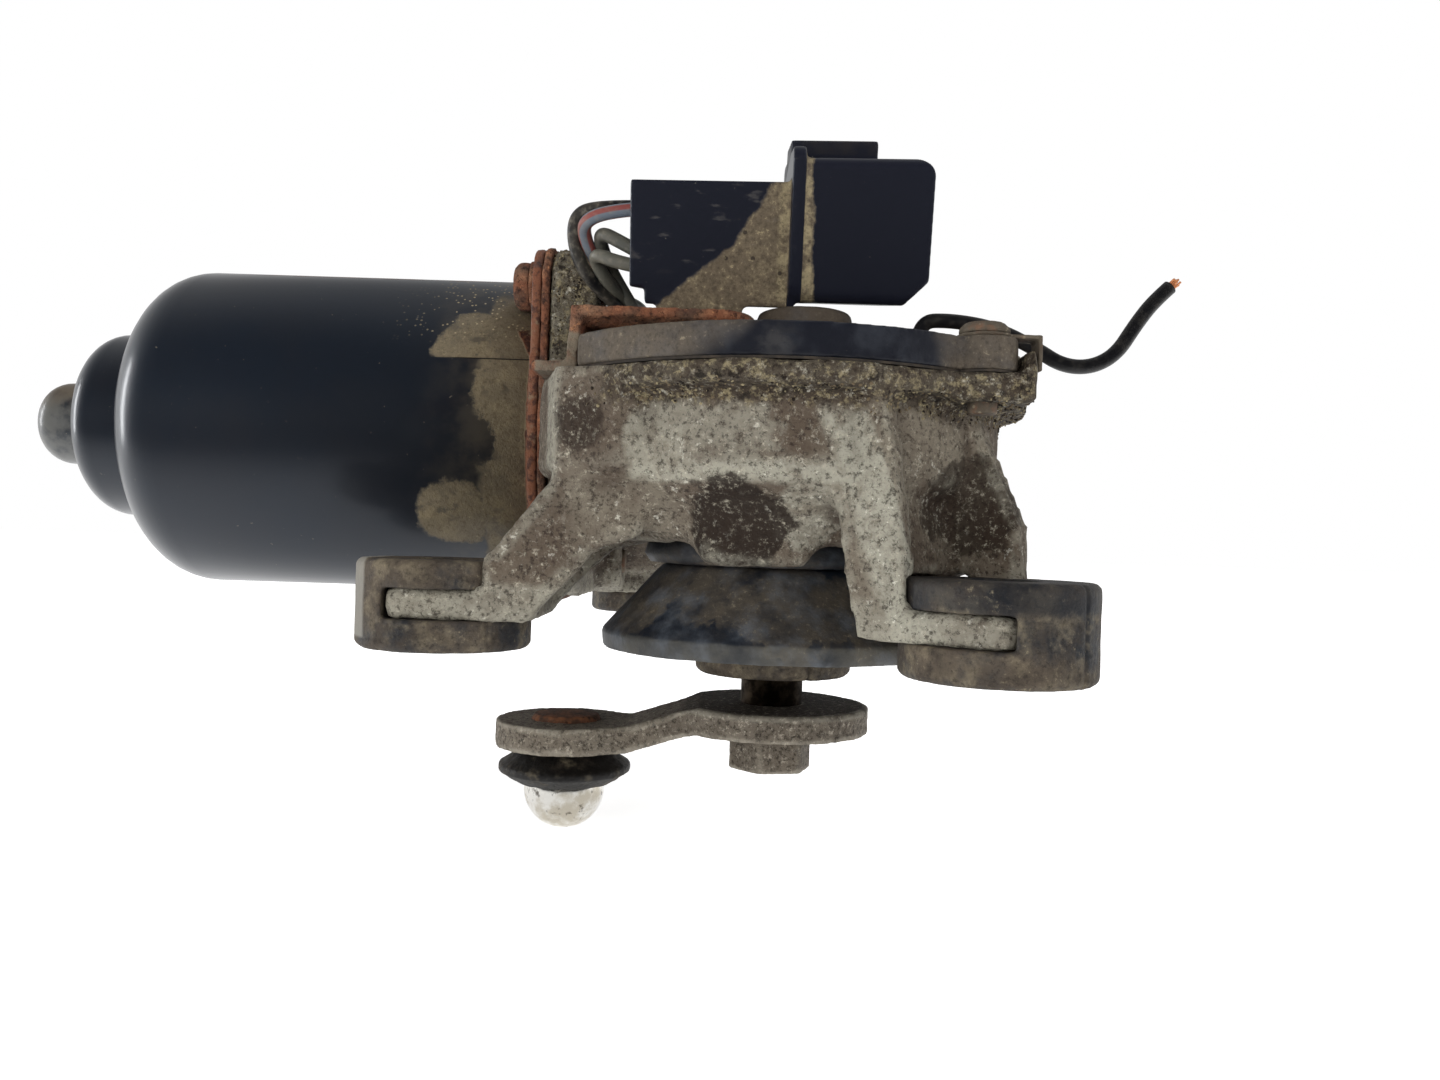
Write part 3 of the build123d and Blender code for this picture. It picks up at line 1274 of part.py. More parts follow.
# ================================================================ leads
with BuildPart() as lead_grommet:
    for bottom, top, radius in (
        (cover_ceiling - grommet_lip, cover_ceiling - press_gap, grommet_waist + grommet_lip),
        (cover_ceiling - press_gap, cover_top + press_gap, grommet_waist),
        (cover_top + press_gap, grommet_top, grommet_waist + grommet_lip),
    ):
        with BuildSketch(Plane.XY.offset(bottom)) as step:
            with Locations(lead_grommet_at):
                Circle(radius)
        extrude(step.sketch, amount=top - bottom)
    chamfer(lead_grommet.faces().sort_by(Axis.Z)[-1].edges(), length=head_chamfer)
save(lead_grommet, "lead_grommet")


def wire(points, diameter):
    """A round wire of straight runs joined by arcs as large as the runs allow."""
    route = [Vector(*p) for p in points]
    runs = [b - a for a, b in zip(route, route[1:])]
    radii = []
    for run, following in zip(runs, runs[1:]):
        half_turn = radians(run.get_angle(following)) / 2
        radii.append(0.45 * min(run.length, following.length) / tan(half_turn))
    with BuildLine() as path:
        FilletPolyline(*route, radius=radii)
    with BuildSketch(Plane(origin=route[0], z_dir=runs[0])) as across:
        Circle(diameter / 2)
    sweep(across.sketch, path=path.wires()[0])
    return radii, path.wires()[0].length


for name, route in lead_routes.items():
    with BuildPart() as lead:
        wire(route, lead_diameter)
    save(lead, name)

with BuildPart() as ground_bush:
    for bottom, top, radius in (
        (cover_ceiling - ground_bush_lip, cover_ceiling - press_gap, ground_bush_radius),
        (cover_ceiling - press_gap, cover_top + press_gap, ground_bush_radius - ground_bush_lip),
        (cover_top + press_gap, ground_bush_top, ground_bush_radius),
    ):
        with BuildSketch(Plane.XY.offset(bottom)) as bush_step:
            with Locations(ground_bush_at):
                Circle(radius)
        extrude(bush_step.sketch, amount=top - bottom)
save(ground_bush, "ground_bush")

with BuildPart() as cut_wire:
    cut_radii, cut_length = wire(cut_wire_points, cut_wire_diameter)
save(cut_wire, "cut_wire")
section_area = pi * (cut_wire_diameter / 2) ** 2
print("cut wire radii", [round(r, 1) for r in cut_radii])
volume_length = cut_wire.part.volume / section_area
print("cut wire length", round(cut_length, 1), "from its volume", round(volume_length, 1))
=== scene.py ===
"""Wiper motor: the looks of its pieces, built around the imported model."""
import json
import math

import bmesh
import bpy
import numpy as np
from bpy.props import FloatProperty, FloatVectorProperty, PointerProperty
from mathutils import Matrix, Vector


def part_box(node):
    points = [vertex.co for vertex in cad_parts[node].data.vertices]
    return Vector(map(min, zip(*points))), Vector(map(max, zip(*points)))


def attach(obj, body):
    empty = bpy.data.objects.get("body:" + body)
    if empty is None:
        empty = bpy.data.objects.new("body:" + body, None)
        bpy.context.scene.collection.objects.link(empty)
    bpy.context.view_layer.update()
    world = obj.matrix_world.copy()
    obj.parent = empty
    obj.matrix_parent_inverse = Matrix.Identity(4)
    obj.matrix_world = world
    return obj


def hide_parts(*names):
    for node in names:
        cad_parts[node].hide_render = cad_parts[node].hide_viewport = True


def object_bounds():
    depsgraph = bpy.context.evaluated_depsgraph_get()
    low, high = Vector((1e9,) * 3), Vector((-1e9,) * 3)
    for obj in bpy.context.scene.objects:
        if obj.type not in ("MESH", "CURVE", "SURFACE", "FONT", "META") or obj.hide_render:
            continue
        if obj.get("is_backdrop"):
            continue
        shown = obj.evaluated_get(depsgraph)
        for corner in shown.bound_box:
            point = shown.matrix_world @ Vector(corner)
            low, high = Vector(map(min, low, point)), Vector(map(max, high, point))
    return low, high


bl_info = {
    "name": "Wiper motor",
    "version": (1, 0, 0),
    "blender": (4, 5, 0),
    "location": "View3D > Sidebar > Wiper motor",
    "description": "Builds the surfaces, rubber, wiring and dirt of a used wiper motor",
    "category": "Object",
}

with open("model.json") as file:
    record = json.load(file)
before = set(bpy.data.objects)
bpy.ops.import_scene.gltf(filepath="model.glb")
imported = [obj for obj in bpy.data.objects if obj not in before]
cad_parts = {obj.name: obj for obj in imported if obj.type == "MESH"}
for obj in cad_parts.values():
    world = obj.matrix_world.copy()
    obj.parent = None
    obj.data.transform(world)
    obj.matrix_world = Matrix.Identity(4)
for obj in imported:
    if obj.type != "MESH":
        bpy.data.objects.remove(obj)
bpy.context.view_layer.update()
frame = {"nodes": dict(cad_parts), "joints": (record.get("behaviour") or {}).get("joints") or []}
MM = 0.001
# The frame's directions: along the motor towards its gears, away from the eye, and up.
ALONG, BACK, UP = Vector((1, 0, 0)), Vector((0, 1, 0)), Vector((0, 0, 1))
STILL = Vector((0, 0, 0))
motor_axis = next(Vector(joint["pos_m"]) for joint in frame["joints"] if joint["name"] == "armature_spin")


# ---------------------------------------------------------------- sizes and colours
def linear(hexadecimal):
    """An sRGB hex colour as linear red, green and blue."""
    parts = [int(hexadecimal[i:i + 2], 16) / 255 for i in (1, 3, 5)]
    return tuple(p / 12.92 if p <= 0.04045 else ((p + 0.055) / 1.055) ** 2.4 for p in parts)


def length_prop(name, description, default):
    """A length, its default given in millimetres."""
    return FloatProperty(name=name, description=description, default=default * MM, unit="LENGTH", precision=5)


def colour_prop(name, description, default):
    """A colour, its default given as a hex code."""
    return FloatVectorProperty(name=name, description=description, subtype="COLOR", size=3, min=0, max=1,
                               default=linear(default))


class WiperSizes(bpy.types.PropertyGroup):
    """Sizes that the surfaces are made with."""
    can_radius: length_prop("Can radius", "Outside of the motor's drawn can", 29.5)
    shoulder_radius: length_prop("Shoulder", "Rounding of the can's rear shoulder", 10.8)
    nose_radius: length_prop("Nose radius", "First step of the can's nose", 17.4)
    nose_rounding: length_prop("Nose rounding", "Rounding of the first step", 5.5)
    tip_radius: length_prop("Tip radius", "Second step of the can's nose", 7.8)
    tip_rounding: length_prop("Tip rounding", "Rounding of the second step", 5.0)
    nose_length: length_prop("Nose length", "From the nose's first step to the can's tip", 11.7)
    shoulder_length: length_prop("Shoulder length", "From the shoulder's plane to the can's tip", 24.1)
    cast_voxel: length_prop("Casting grain", "Cell size of the casting's skin", 0.85)
    fine_voxel: length_prop("Fine grain", "Cell size of small pieces' skin", 0.42)
    lead_diameter: length_prop("Lead", "Outside of each connector lead", 2.2)
    cut_diameter: length_prop("Cut wire", "Outside of the cut ground wire", 2.2)
    strand_diameter: length_prop("Strand", "One copper strand of the cut wire", 0.34)
    grit_radius: length_prop("Grit", "Radius of the largest grain of stuck dirt", 0.34)
    grit_count: FloatProperty(
        name="Grit count", description="Grains of dirt on each square millimetre of crust", default=1.6, min=0,
        subtype="UNSIGNED")


class WiperColours(bpy.types.PropertyGroup):
    """Colours of the finishes."""
    enamel: colour_prop("Can enamel", "Black dip coat of the can", "#151a22")
    dust: colour_prop("Dust", "Dry road dust", "#756a55")
    rust: colour_prop("Rust", "Bright rust", "#6f4531")
    deep_rust: colour_prop("Deep rust", "Old dark rust", "#472f26")
    casting: colour_prop("Casting", "Weathered aluminium", "#62594d")
    oxide: colour_prop("Oxide", "White bloom of aluminium", "#c9c6b8")
    cover: colour_prop("Cover paint", "Paint of the gear cover", "#14161e")
    rubber_dust: colour_prop("Rubber dust", "Dirt rubbed into rubber", "#50463a")
    plastic: colour_prop("Connector plastic", "Moulded plastic of the connector", "#171821")
    arm: colour_prop("Arm steel", "Worn forged steel", "#675f53")
    chrome: colour_prop("Ball chrome", "Plated ball", "#e8e6e0")
    copper: colour_prop("Copper", "Bare strands", "#d08a5c")


def sizes():
    return bpy.context.scene.wiper_sizes


def colours():
    return bpy.context.scene.wiper_colours


# ---------------------------------------------------------------- nodes
def add(tree, kind, inputs=None, **settings):
    """Adds a node with its settings, and links or sets its inputs by name or number.

    A colour may be a hex code. A mix node names the inputs of all its data types alike, so they go by number:
    2 and 3 are values, 6 and 7 are colours.
    """
    node = tree.nodes.new(kind)
    for key, value in settings.items():
        setattr(node, key, value)
    for key, value in (inputs or {}).items():
        socket = node.inputs[key]
        if isinstance(value, bpy.types.NodeSocket):
            tree.links.new(value, socket)
        elif socket.type == "RGBA":
            socket.default_value = (*(linear(value) if isinstance(value, str) else value), 1)
        else:
            socket.default_value = value
    return node


def chained(tree, operation, result, *others):
    """Takes values together, one after another, by one operation."""
    for value in others:
        result = add(tree, "ShaderNodeMath", {0: result, 1: value}, operation=operation).outputs[0]
    return result


def emptied(owner):
    """The node tree of a new material or world, with nothing in it."""
    owner.use_nodes = True
    owner.node_tree.nodes.clear()
    return owner.node_tree


# ---------------------------------------------------------------- materials
class Finish:
    """A material under way: its tree, the place looked up in the shared frame, and its layers so far."""

    def __init__(self, name, colour, roughness, metallic=0.0, ior=1.5):
        self.material = bpy.data.materials.new(name)
        self.tree = emptied(self.material)
        self.place = add(self.tree, "ShaderNodeTexCoord").outputs["Object"]
        self.colour, self.roughness, self.height = colour, roughness, None
        self.metallic, self.ior = metallic, ior

    def noise(self, grain, detail=4.0, rough=0.6, stretch=None):
        """Cloudy values around 0.5; grain is the size of a cloud in millimetres."""
        where = self.place
        if stretch:
            where = add(self.tree, "ShaderNodeMapping", {"Vector": where, "Scale": stretch}).outputs[0]
        return add(self.tree, "ShaderNodeTexNoise", {
            "Vector": where, "Scale": 1 / (grain * MM), "Detail": detail, "Roughness": rough}).outputs[0]

    def step(self, value, low, high):
        """0 at low, 1 at high, smooth between; low may be the greater."""
        return add(self.tree, "ShaderNodeMapRange", {"Value": value, "From Min": low, "From Max": high},
                   interpolation_type="SMOOTHSTEP").outputs[0]

    def patches(self, grain, share, edge=0.05, detail=4.0, stretch=None):
        """Patches of a size in millimetres over about that share of the surface."""
        spread = 0.36  # how far apart the noise's values lie
        middle = 0.5 + (0.5 - share) * spread
        return self.step(self.noise(grain, detail, stretch=stretch), middle - edge, middle + edge)

    def grains(self, size, low, high, rough=0.8):
        """Fine grit of a size in millimetres, out of a rough noise: none at its value low, full at high."""
        return self.step(self.noise(size, 8.0, rough), low, high)

    def uneven(self, distance, wave, height):
        """A distance pushed to and fro by up to a height, both in millimetres, by a noise around 0.5."""
        pushed = add(self.tree, "ShaderNodeMath", {0: wave, 1: 2 * height, 2: distance},
                     operation="MULTIPLY_ADD").outputs[0]
        return add(self.tree, "ShaderNodeMath", {0: pushed, 1: height}, operation="SUBTRACT").outputs[0]

    def beyond(self, direction, start, width, wobble=0.0, grain=6.0):
        """0 before start, 1 beyond start and width, in millimetres along a direction."""
        distance = add(self.tree, "ShaderNodeVectorMath", {
            0: self.place, 1: Vector(direction).normalized() / MM}, operation="DOT_PRODUCT").outputs["Value"]
        if wobble:
            distance = self.uneven(distance, self.noise(grain, 3.0), wobble)
        return self.step(distance, start, start + width)

    def before(self, *zone):
        """1 before start, 0 beyond start and width: the rest of what beyond gives."""
        return self.but(self.beyond(*zone))

    def near(self, place, reach, wobble, grain):
        """1 within a reach of a place, both in millimetres, with an uneven and soft edge."""
        fade = 0.6
        away = add(self.tree, "ShaderNodeVectorMath", {
            0: self.place, 1: Vector(place) * MM}, operation="DISTANCE").outputs["Value"]
        away = self.both(away, 1 / MM)
        away = self.uneven(away, self.noise(grain, 8.0, 0.66), 2 * wobble)
        return self.but(self.step(away, reach - fade, reach + fade))

    def specks(self, spacing, share, radius=0.3):
        """Round grains in a share of the cells of a spacing in millimetres; radius is a part of the spacing."""
        cells = add(self.tree, "ShaderNodeTexVoronoi", {"Vector": self.place, "Scale": 1 / (spacing * MM)})
        inside = self.but(self.step(cells.outputs["Distance"], radius * 0.6, radius))
        lot = add(self.tree, "ShaderNodeSeparateColor", {0: cells.outputs["Color"]}).outputs[0]
        chosen = add(self.tree, "ShaderNodeMath", {0: lot, 1: share}, operation="LESS_THAN").outputs[0]
        return self.both(inside, chosen)

    def both(self, *masks):
        """Where all the masks are 1; a number among them is the share that is kept."""
        return chained(self.tree, "MULTIPLY", *masks)

    def either(self, *masks):
        """Where any of the masks is 1."""
        return chained(self.tree, "MAXIMUM", *masks)

    def but(self, mask):
        """Where the mask is 0."""
        return add(self.tree, "ShaderNodeMath", {0: 1.0, 1: mask}, operation="SUBTRACT").outputs[0]

    def attribute(self, name):
        """What a mesh has stored at its points."""
        return add(self.tree, "ShaderNodeAttribute", attribute_name=name).outputs["Fac"]

    def layer(self, mask, amount, colour, roughness):
        """Lays that amount of a colour and a roughness over what is there, where mask is 1."""
        factor = mask if amount == 1 else self.both(mask, amount)
        self.colour = add(self.tree, "ShaderNodeMix", {"Factor": factor, 6: self.colour, 7: colour},
                          data_type="RGBA").outputs[2]
        self.roughness = add(self.tree, "ShaderNodeMix", {
            "Factor": factor, 2: self.roughness, 3: roughness}).outputs[0]

    def raise_by(self, value, depth):
        """Adds value times a depth in millimetres to the relief."""
        below = 0.0 if self.height is None else self.height
        self.height = add(self.tree, "ShaderNodeMath", {0: value, 1: depth * MM, 2: below},
                          operation="MULTIPLY_ADD").outputs[0]

    def done(self, **shader):
        """Joins the layers in one shader, with more of its inputs by name, and returns the material."""
        inputs = {"Base Color": self.colour, "Roughness": self.roughness, "Metallic": self.metallic}
        if not self.metallic:
            inputs["IOR"] = self.ior
        if self.height is not None:
            relief = {"Height": self.height, "Distance": 1.0}
            inputs["Normal"] = add(self.tree, "ShaderNodeBump", relief).outputs[0]
        inputs.update({key.replace("_", " "): value for key, value in shader.items()})
        surface = add(self.tree, "ShaderNodeBsdfPrincipled", inputs)
        add(self.tree, "ShaderNodeOutputMaterial", {"Surface": surface.outputs[0]})
        return self.material


def can_enamel():
    """Dip-coated black enamel on drawn steel: smooth and glossy, under fine tan road dust near its flange."""
    c = colours()
    f = Finish("Black dip enamel on drawn steel", c.enamel, 0.32)
    f.layer(f.patches(26, 0.5, 0.2), 0.35, "#211f20", 0.32)
    front = f.before(BACK, 22, 3)
    dark_line_height = 46.9
    above = f.beyond(UP, dark_line_height - 0.1, 0.2)
    # Dust lies in rounded lobes: a band along the flange, one low lobe, one under and one over the dark line.
    band = f.beyond(ALONG, -51.2, 1.6, 2.6, 7)
    low_lobe = f.near((-55.4, 9.6, 20.6), 6.4, 1.6, 5)
    under = f.both(f.near((-46.5, 6.0, 41.5), 5.6, 1.8, 5), f.but(above))
    over = f.both(f.near((-50.5, 9.0, 48.5), 8.4, 1.6, 5), above)
    hollow = f.both(f.near((-52.0, 5.0, 33.0), 4.4, 1.8, 4), f.but(above))
    sides = f.both(f.beyond(BACK, 18, 6), f.beyond(ALONG, -58, 8, 9, 12))
    film = f.both(f.either(f.both(front, f.either(band, low_lobe, under, over)), sides),
                  f.but(hollow))
    film = f.both(film, f.before(UP, 57.5, 3, 2, 5))
    bare = f.both(f.patches(2.6, 0.3, 0.07, 8), f.patches(9, 0.5, 0.12))
    film = f.both(film, f.but(f.both(bare, 0.7)))
    f.layer(film, 0.9, c.dust, 0.92)
    f.layer(f.both(film, f.patches(4.5, 0.4, 0.12, 6)), 0.5, "#8d7f63", 0.92)
    haze = f.both(f.beyond(ALONG, -62, 14, 5, 10), f.patches(7, 0.5, 0.14, 5))
    f.layer(haze, 0.3, "#6a604e", 0.7)
    # Grains of dust thrown over the upper side, thinning towards the rear.
    grains = f.both(f.beyond(ALONG, -70, 20, 6, 9), f.beyond(UP, 49, 4, 1, 5), f.specks(0.8, 0.42))
    f.layer(grains, 0.85, "#b5a583", 0.95)
    f.layer(f.step(f.noise(1.1, 5, 0.6), 0.7, 0.74), 0.4, "#8a8070", 0.9)
    f.layer(f.both(film, f.grains(0.9, 0.5, 0.38)), 0.5, "#4b4132", 0.9)
    f.layer(f.both(film, f.grains(0.8, 0.56, 0.66)), 0.5, "#a39574", 0.9)
    strip = f.both(f.beyond(UP, 63.7, 1.0, 0.8, 5), f.beyond(ALONG, -101, 12, 4, 6),
                   f.before(ALONG, -58, 8))
    f.layer(f.both(strip, f.patches(5, 0.8, 0.1, 6)), 0.9, "#665044", 0.9)
    tip = f.both(f.before(ALONG, -129.4, 0.8, 0.4, 3), f.patches(4, 0.7, 0.15, 7))
    f.layer(tip, 0.45, "#75736c", 0.5)
    f.layer(f.both(f.before(ALONG, -129, 0.6), f.beyond(UP, 38, 4, 2, 4)), 0.6, "#5a4b36", 0.85)
    # A thin dark line runs back from the flange: a painted shadow line over a shallow groove, with a chip of rust at
    # its end.
    line = f.both(f.beyond(UP, dark_line_height - 0.12, 0.06), f.before(UP, dark_line_height + 0.08, 0.06),
                  f.beyond(ALONG, -59, 5), front)
    f.layer(line, 0.9, "#0b0a09", 0.7)
    chip = f.both(f.beyond((1, 0, 0.55), -14.6, 0.4, 0.3, 2), f.before(UP, 51.8, 0.8), above, front)
    rim = f.beyond(ALONG, -42.7, 0.4, 0.4, 4)
    rusty = f.either(chip, rim)
    f.layer(f.both(rusty, f.patches(3, 0.85, 0.1, 6)), 0.95, c.rust, 0.95)
    f.layer(f.both(rusty, f.patches(1.6, 0.4, 0.06, 6)), 1, c.deep_rust, 0.95)
    f.raise_by(f.both(f.noise(0.5, 3), film), 0.1)
    f.raise_by(line, -0.15)
    f.raise_by(f.both(f.noise(1.1, 6), rusty), 0.5)
    f.raise_by(f.noise(30, 2), 0.06)
    return f.done(Coat_Weight=0.3, Coat_Roughness=0.16, Specular_Tint="#d5deea")


def cast_aluminium():
    """Die-cast aluminium, weathered: brown-grey and granular, pale where rubbed and with painted highlights where it
    faces the light, painted shade in its recesses and under the cover's lip, crusted under the cover.
    """
    c = colours()
    f = Finish("Die-cast aluminium, weathered", c.casting, 0.8, metallic=0.12)
    wear = f.attribute("wear")
    f.layer(f.patches(9, 0.5, 0.16, 7), 0.8, "#574c40", 0.85)
    f.layer(f.patches(20, 0.45, 0.12, 8), 0.75, "#473b31", 0.9)
    f.layer(f.patches(14, 0.33, 0.12, 6), 0.55, "#7a7365", 0.8)
    front = f.before(BACK, -20, 3)
    # Pale zones, part rubbed metal and part painted highlight where faces turn to the light: the front rib, the
    # worm's bulge with its lower edge and left end, the forks' prongs.
    rib = f.both(f.beyond((0.953, 0, 0.3035), 13.0, 2.2, 0.8, 4),
                 f.before((0.953, 0, 0.3035), 19.6, 0.7, 0.5, 4), f.before(UP, 34, 3, 1.5, 4),
                 front)
    bulge_edge = f.both(f.beyond(UP, 24.6, 1.2, 0.5, 4), f.before(UP, 27.2, 2.4, 1.0, 4),
                        f.beyond(ALONG, -23, 2), f.before(ALONG, 8, 4), front)
    bulge_end = f.near((-18.5, -30, 31.0), 4.6, 1.4, 4)
    bulge = f.both(f.either(f.near((-15.0, -29, 31.0), 7.0, 2.0, 4),
                            f.near((-6.0, -29, 31.5), 7.0, 2.0, 4)),
                   f.beyond(UP, 25.0, 1.5, 0.8, 4), f.before(UP, 35.6, 1.5, 1.5, 4))
    corner = f.both(f.near((3.0, -31, 20.0), 6.0, 1.8, 4), f.patches(4, 0.8, 0.15))
    left_edge = f.both(f.before(ALONG, -33.6, 2.0, 0.7, 3), f.beyond(UP, 22, 4), front)
    prongs = f.before(UP, 9.2, 1.6, 0.8, 4)
    pale = f.either(rib, f.both(bulge_edge, 0.95), f.both(bulge_end, 0.7), f.both(bulge, 0.55),
                    f.both(corner, 0.75), f.both(left_edge, 0.8), f.both(prongs, 0.55))
    f.layer(f.both(pale, f.patches(2.2, 0.86, 0.2, 5)), 0.78, "#9a988a", 0.75)
    # Painted shade: near-black patches under the worm's bulge, on the web by the right leg and on the left column.
    dark = f.either(f.near((-7.0, -28.5, 19.6), 7.6, 2.2, 5),
                    f.both(f.near((26.0, -26, 23.0), 7.0, 2.5, 5), 0.8),
                    f.both(f.near((-29.5, -27, 33.0), 4.0, 1.2, 4), 0.7))
    f.layer(dark, 0.93, "#20160f", 0.92)
    hollows = f.step(wear, -0.05, -0.5)
    f.layer(f.both(hollows, f.patches(6, 0.75, 0.2)), 0.75, "#352a22", 0.92)
    ridges = f.step(wear, 0.12, 0.6)
    f.layer(f.both(ridges, f.patches(3, 0.6, 0.14, 6)), 0.4, "#928f81", 0.75)
    # Dark under the cover's lip: painted shade over caked dirt; caked dirt behind the flange.
    lip = f.both(f.beyond(UP, 34.6, 2.6, 1.8, 3), f.beyond(ALONG, -27, 2))
    f.layer(lip, 0.8, "#332a20", 0.95)
    flange = f.both(f.beyond(UP, 43.5, 2), f.before(ALONG, -22, 4))
    f.layer(flange, 0.7, "#4c463a", 0.92)
    grains = f.either(lip, flange)
    f.layer(f.both(grains, f.grains(1.5, 0.5, 0.6, 0.75)), 0.7, "#857a5e", 0.95)
    f.layer(f.both(grains, f.grains(2.0, 0.46, 0.38, 0.75)), 0.85, "#120e0a", 0.95)
    # Granular skin: grains of one to a few tenths of a millimetre, drawn a little coarser to show.
    pale_grain = f.grains(1.0, 0.52, 0.66)
    dark_grain = f.grains(0.9, 0.51, 0.38)
    f.layer(f.both(pale_grain, f.patches(8, 0.62, 0.25, 5)), 0.8, "#aaa493", 0.85)
    f.layer(dark_grain, 0.8, "#211812", 0.9)
    # The white bloom follows the pale zones, so it also brightens the painted highlights.
    f.layer(f.both(f.grains(1.6, 0.58, 0.66, 0.75),
                   f.either(pale, f.both(f.patches(12, 0.5, 0.1), 0.7))), 0.85, c.oxide, 0.9)
    f.raise_by(f.noise(0.7, 3), 0.3)
    f.raise_by(f.noise(2.4, 5), 0.35)
    return f.done()


def cover_paint():
    """Dark paint on the pressed gear cover: satin, dusted at both ends and on its raised rest."""
    c = colours()
    f = Finish("Dark paint on pressed steel", c.cover, 0.4)
    left_end = f.before((0.597, 0, -0.806), -44.0, 5, 1.6, 4)
    right_end = f.beyond(ALONG, 17.5, 5, 2, 6)
    rest = f.beyond(UP, 46.1, 0.5)
    dusty = f.either(f.both(left_end, 0.9), f.both(right_end, 0.95), rest)
    f.layer(f.both(dusty, f.patches(8, 0.92, 0.2, 6)), 0.85, "#5c5244", 0.88)
    f.layer(f.both(dusty, f.patches(4, 0.42, 0.12, 6)), 0.6, "#474038", 0.9)
    f.layer(f.both(dusty, f.grains(0.9, 0.55, 0.66)), 0.6, "#8d826d", 0.9)
    f.layer(f.both(dusty, f.grains(0.9, 0.5, 0.38)), 0.6, "#2c2520", 0.9)
    patch = f.both(f.beyond(ALONG, 30.6, 0.5, 0.9, 2), f.before(BACK, -22, 2))
    f.layer(patch, 0.9, "#0e0f13", 0.5)
    cloud = f.both(f.near((-2.5, -37, 43.2), 3.0, 2.0, 3), f.patches(3, 0.4, 0.2))
    f.layer(cloud, 0.25, "#55524d", 0.8)
    f.layer(rest, 0.7, "#3f372f", 0.9)
    f.layer(f.patches(5, 0.3, 0.14, 6), 0.18, "#474c54", 0.6)
    f.layer(f.step(f.noise(1.0, 6, 0.6), 0.68, 0.73), 0.4, c.dust, 0.9)
    f.raise_by(f.noise(0.8, 4), 0.08)
    f.raise_by(f.noise(12, 2), 0.2)
    return f.done()


def rusted_steel():
    """Mild steel rusted through: scaly dull brown-orange with dark brown pits and no shine left."""
    c = colours()
    f = Finish("Mild steel, rusted", c.deep_rust, 0.95)
    f.layer(f.patches(4, 0.55, 0.14, 7), 1, c.rust, 0.95)
    f.layer(f.patches(2.2, 0.26, 0.08, 5), 0.6, "#94664a", 0.95)
    f.layer(f.patches(9, 0.35, 0.1, 6), 0.5, "#5f5142", 0.95)
    f.layer(f.grains(1.0, 0.51, 0.38), 0.8, "#24160f", 0.95)
    f.layer(f.grains(0.9, 0.55, 0.66), 0.7, "#a5714d", 0.95)
    tab = f.both(f.beyond(ALONG, -37, 0.5), f.before(ALONG, -28, 1),
                 f.before(UP, 46.4, 0.8, 0.6, 3))
    f.layer(f.both(tab, f.patches(3, 0.8, 0.15)), 0.9, "#6b6355", 0.92)
    f.raise_by(f.noise(1.3, 7), 0.6)
    f.raise_by(f.noise(0.4, 2), 0.15)
    return f.done()


def rubber(name, dust_share, clean="#15181e"):
    """Moulded rubber: matt and dark, with brown dirt rubbed into it and bluish bare patches."""
    c = colours()
    f = Finish(name, clean, 0.6, ior=1.52)
    f.layer(f.patches(8, dust_share, 0.13, 8), 0.9, c.rubber_dust, 0.88)
    f.layer(f.patches(3.5, dust_share * 0.5, 0.12, 6), 0.5, "#7d725c", 0.9)
    f.layer(f.patches(4, dust_share * 0.6, 0.14, 6), 0.65, "#27211c", 0.9)
    f.layer(f.grains(0.9, 0.5, 0.36), 0.6, "#17130f", 0.9)
    f.layer(f.both(f.grains(0.9, 0.55, 0.66), f.patches(6, dust_share, 0.2)), 0.6, "#8c8168", 0.9)
    f.raise_by(f.noise(0.6, 4), 0.14)
    f.raise_by(f.noise(5, 3), 0.25)
    return f


def foot_rubber():
    """Rubber of the feet, with a painted highlight down the left foot's outer side and painted shade over their upper
    front.
    """
    f = rubber("Foot rubber, moulded", 0.58)
    # Darker upper front of the feet: painted shade on their upper sides, broken into patches of clean rubber.
    bare = f.both(f.beyond(UP, 8.6, 1.5, 1.5, 5), f.patches(7, 0.62, 0.16, 6),
                  f.before(BACK, -30, 4))
    f.layer(bare, 0.85, "#14171d", 0.6)
    # Painted rim highlight down the left foot's outer side.
    left = f.both(f.before(ALONG, -60.6, 0.7, 0.3, 4), f.beyond(UP, 1.4, 0.6))
    f.layer(left, 0.72, "#85827a", 0.85)
    return f.done()


def cone_rubber():
    """Soft seal rubber: dark and slightly glossy where bare, greyed by dust in clouds and along its rim."""
    f = Finish("Soft seal rubber, moulded", "#161b23", 0.5, ior=1.52)
    clouds = f.either(f.near((-19, -12, 8.0), 7, 3, 5), f.near((-9, -19, 9.5), 6.5, 3, 5),
                      f.near((1.0, -22, 7.0), 8.5, 4, 5), f.near((14, -20, 5.0), 9.0, 4, 5))
    back = f.beyond(BACK, -2, 8)
    clouds = f.both(f.either(clouds, back), f.patches(5, 0.62, 0.2, 6))
    f.layer(clouds, 0.8, "#524a3e", 0.88)
    f.layer(f.patches(9, 0.3, 0.14, 7), 0.6, "#39342e", 0.8)
    lip = f.both(f.before(UP, 2.5, 0.5, 0.3, 5), f.patches(9, 0.6, 0.25, 6))
    f.layer(lip, 0.55, "#5c594f", 0.85)
    f.layer(f.patches(6, 0.3, 0.14, 7), 0.5, "#5d636b", 0.6)
    f.layer(f.both(clouds, f.grains(0.8, 0.54, 0.66)), 0.6, "#857b68", 0.9)
    f.raise_by(f.noise(0.7, 4), 0.1)
    f.raise_by(f.noise(7, 3), 0.3)
    return f.done()


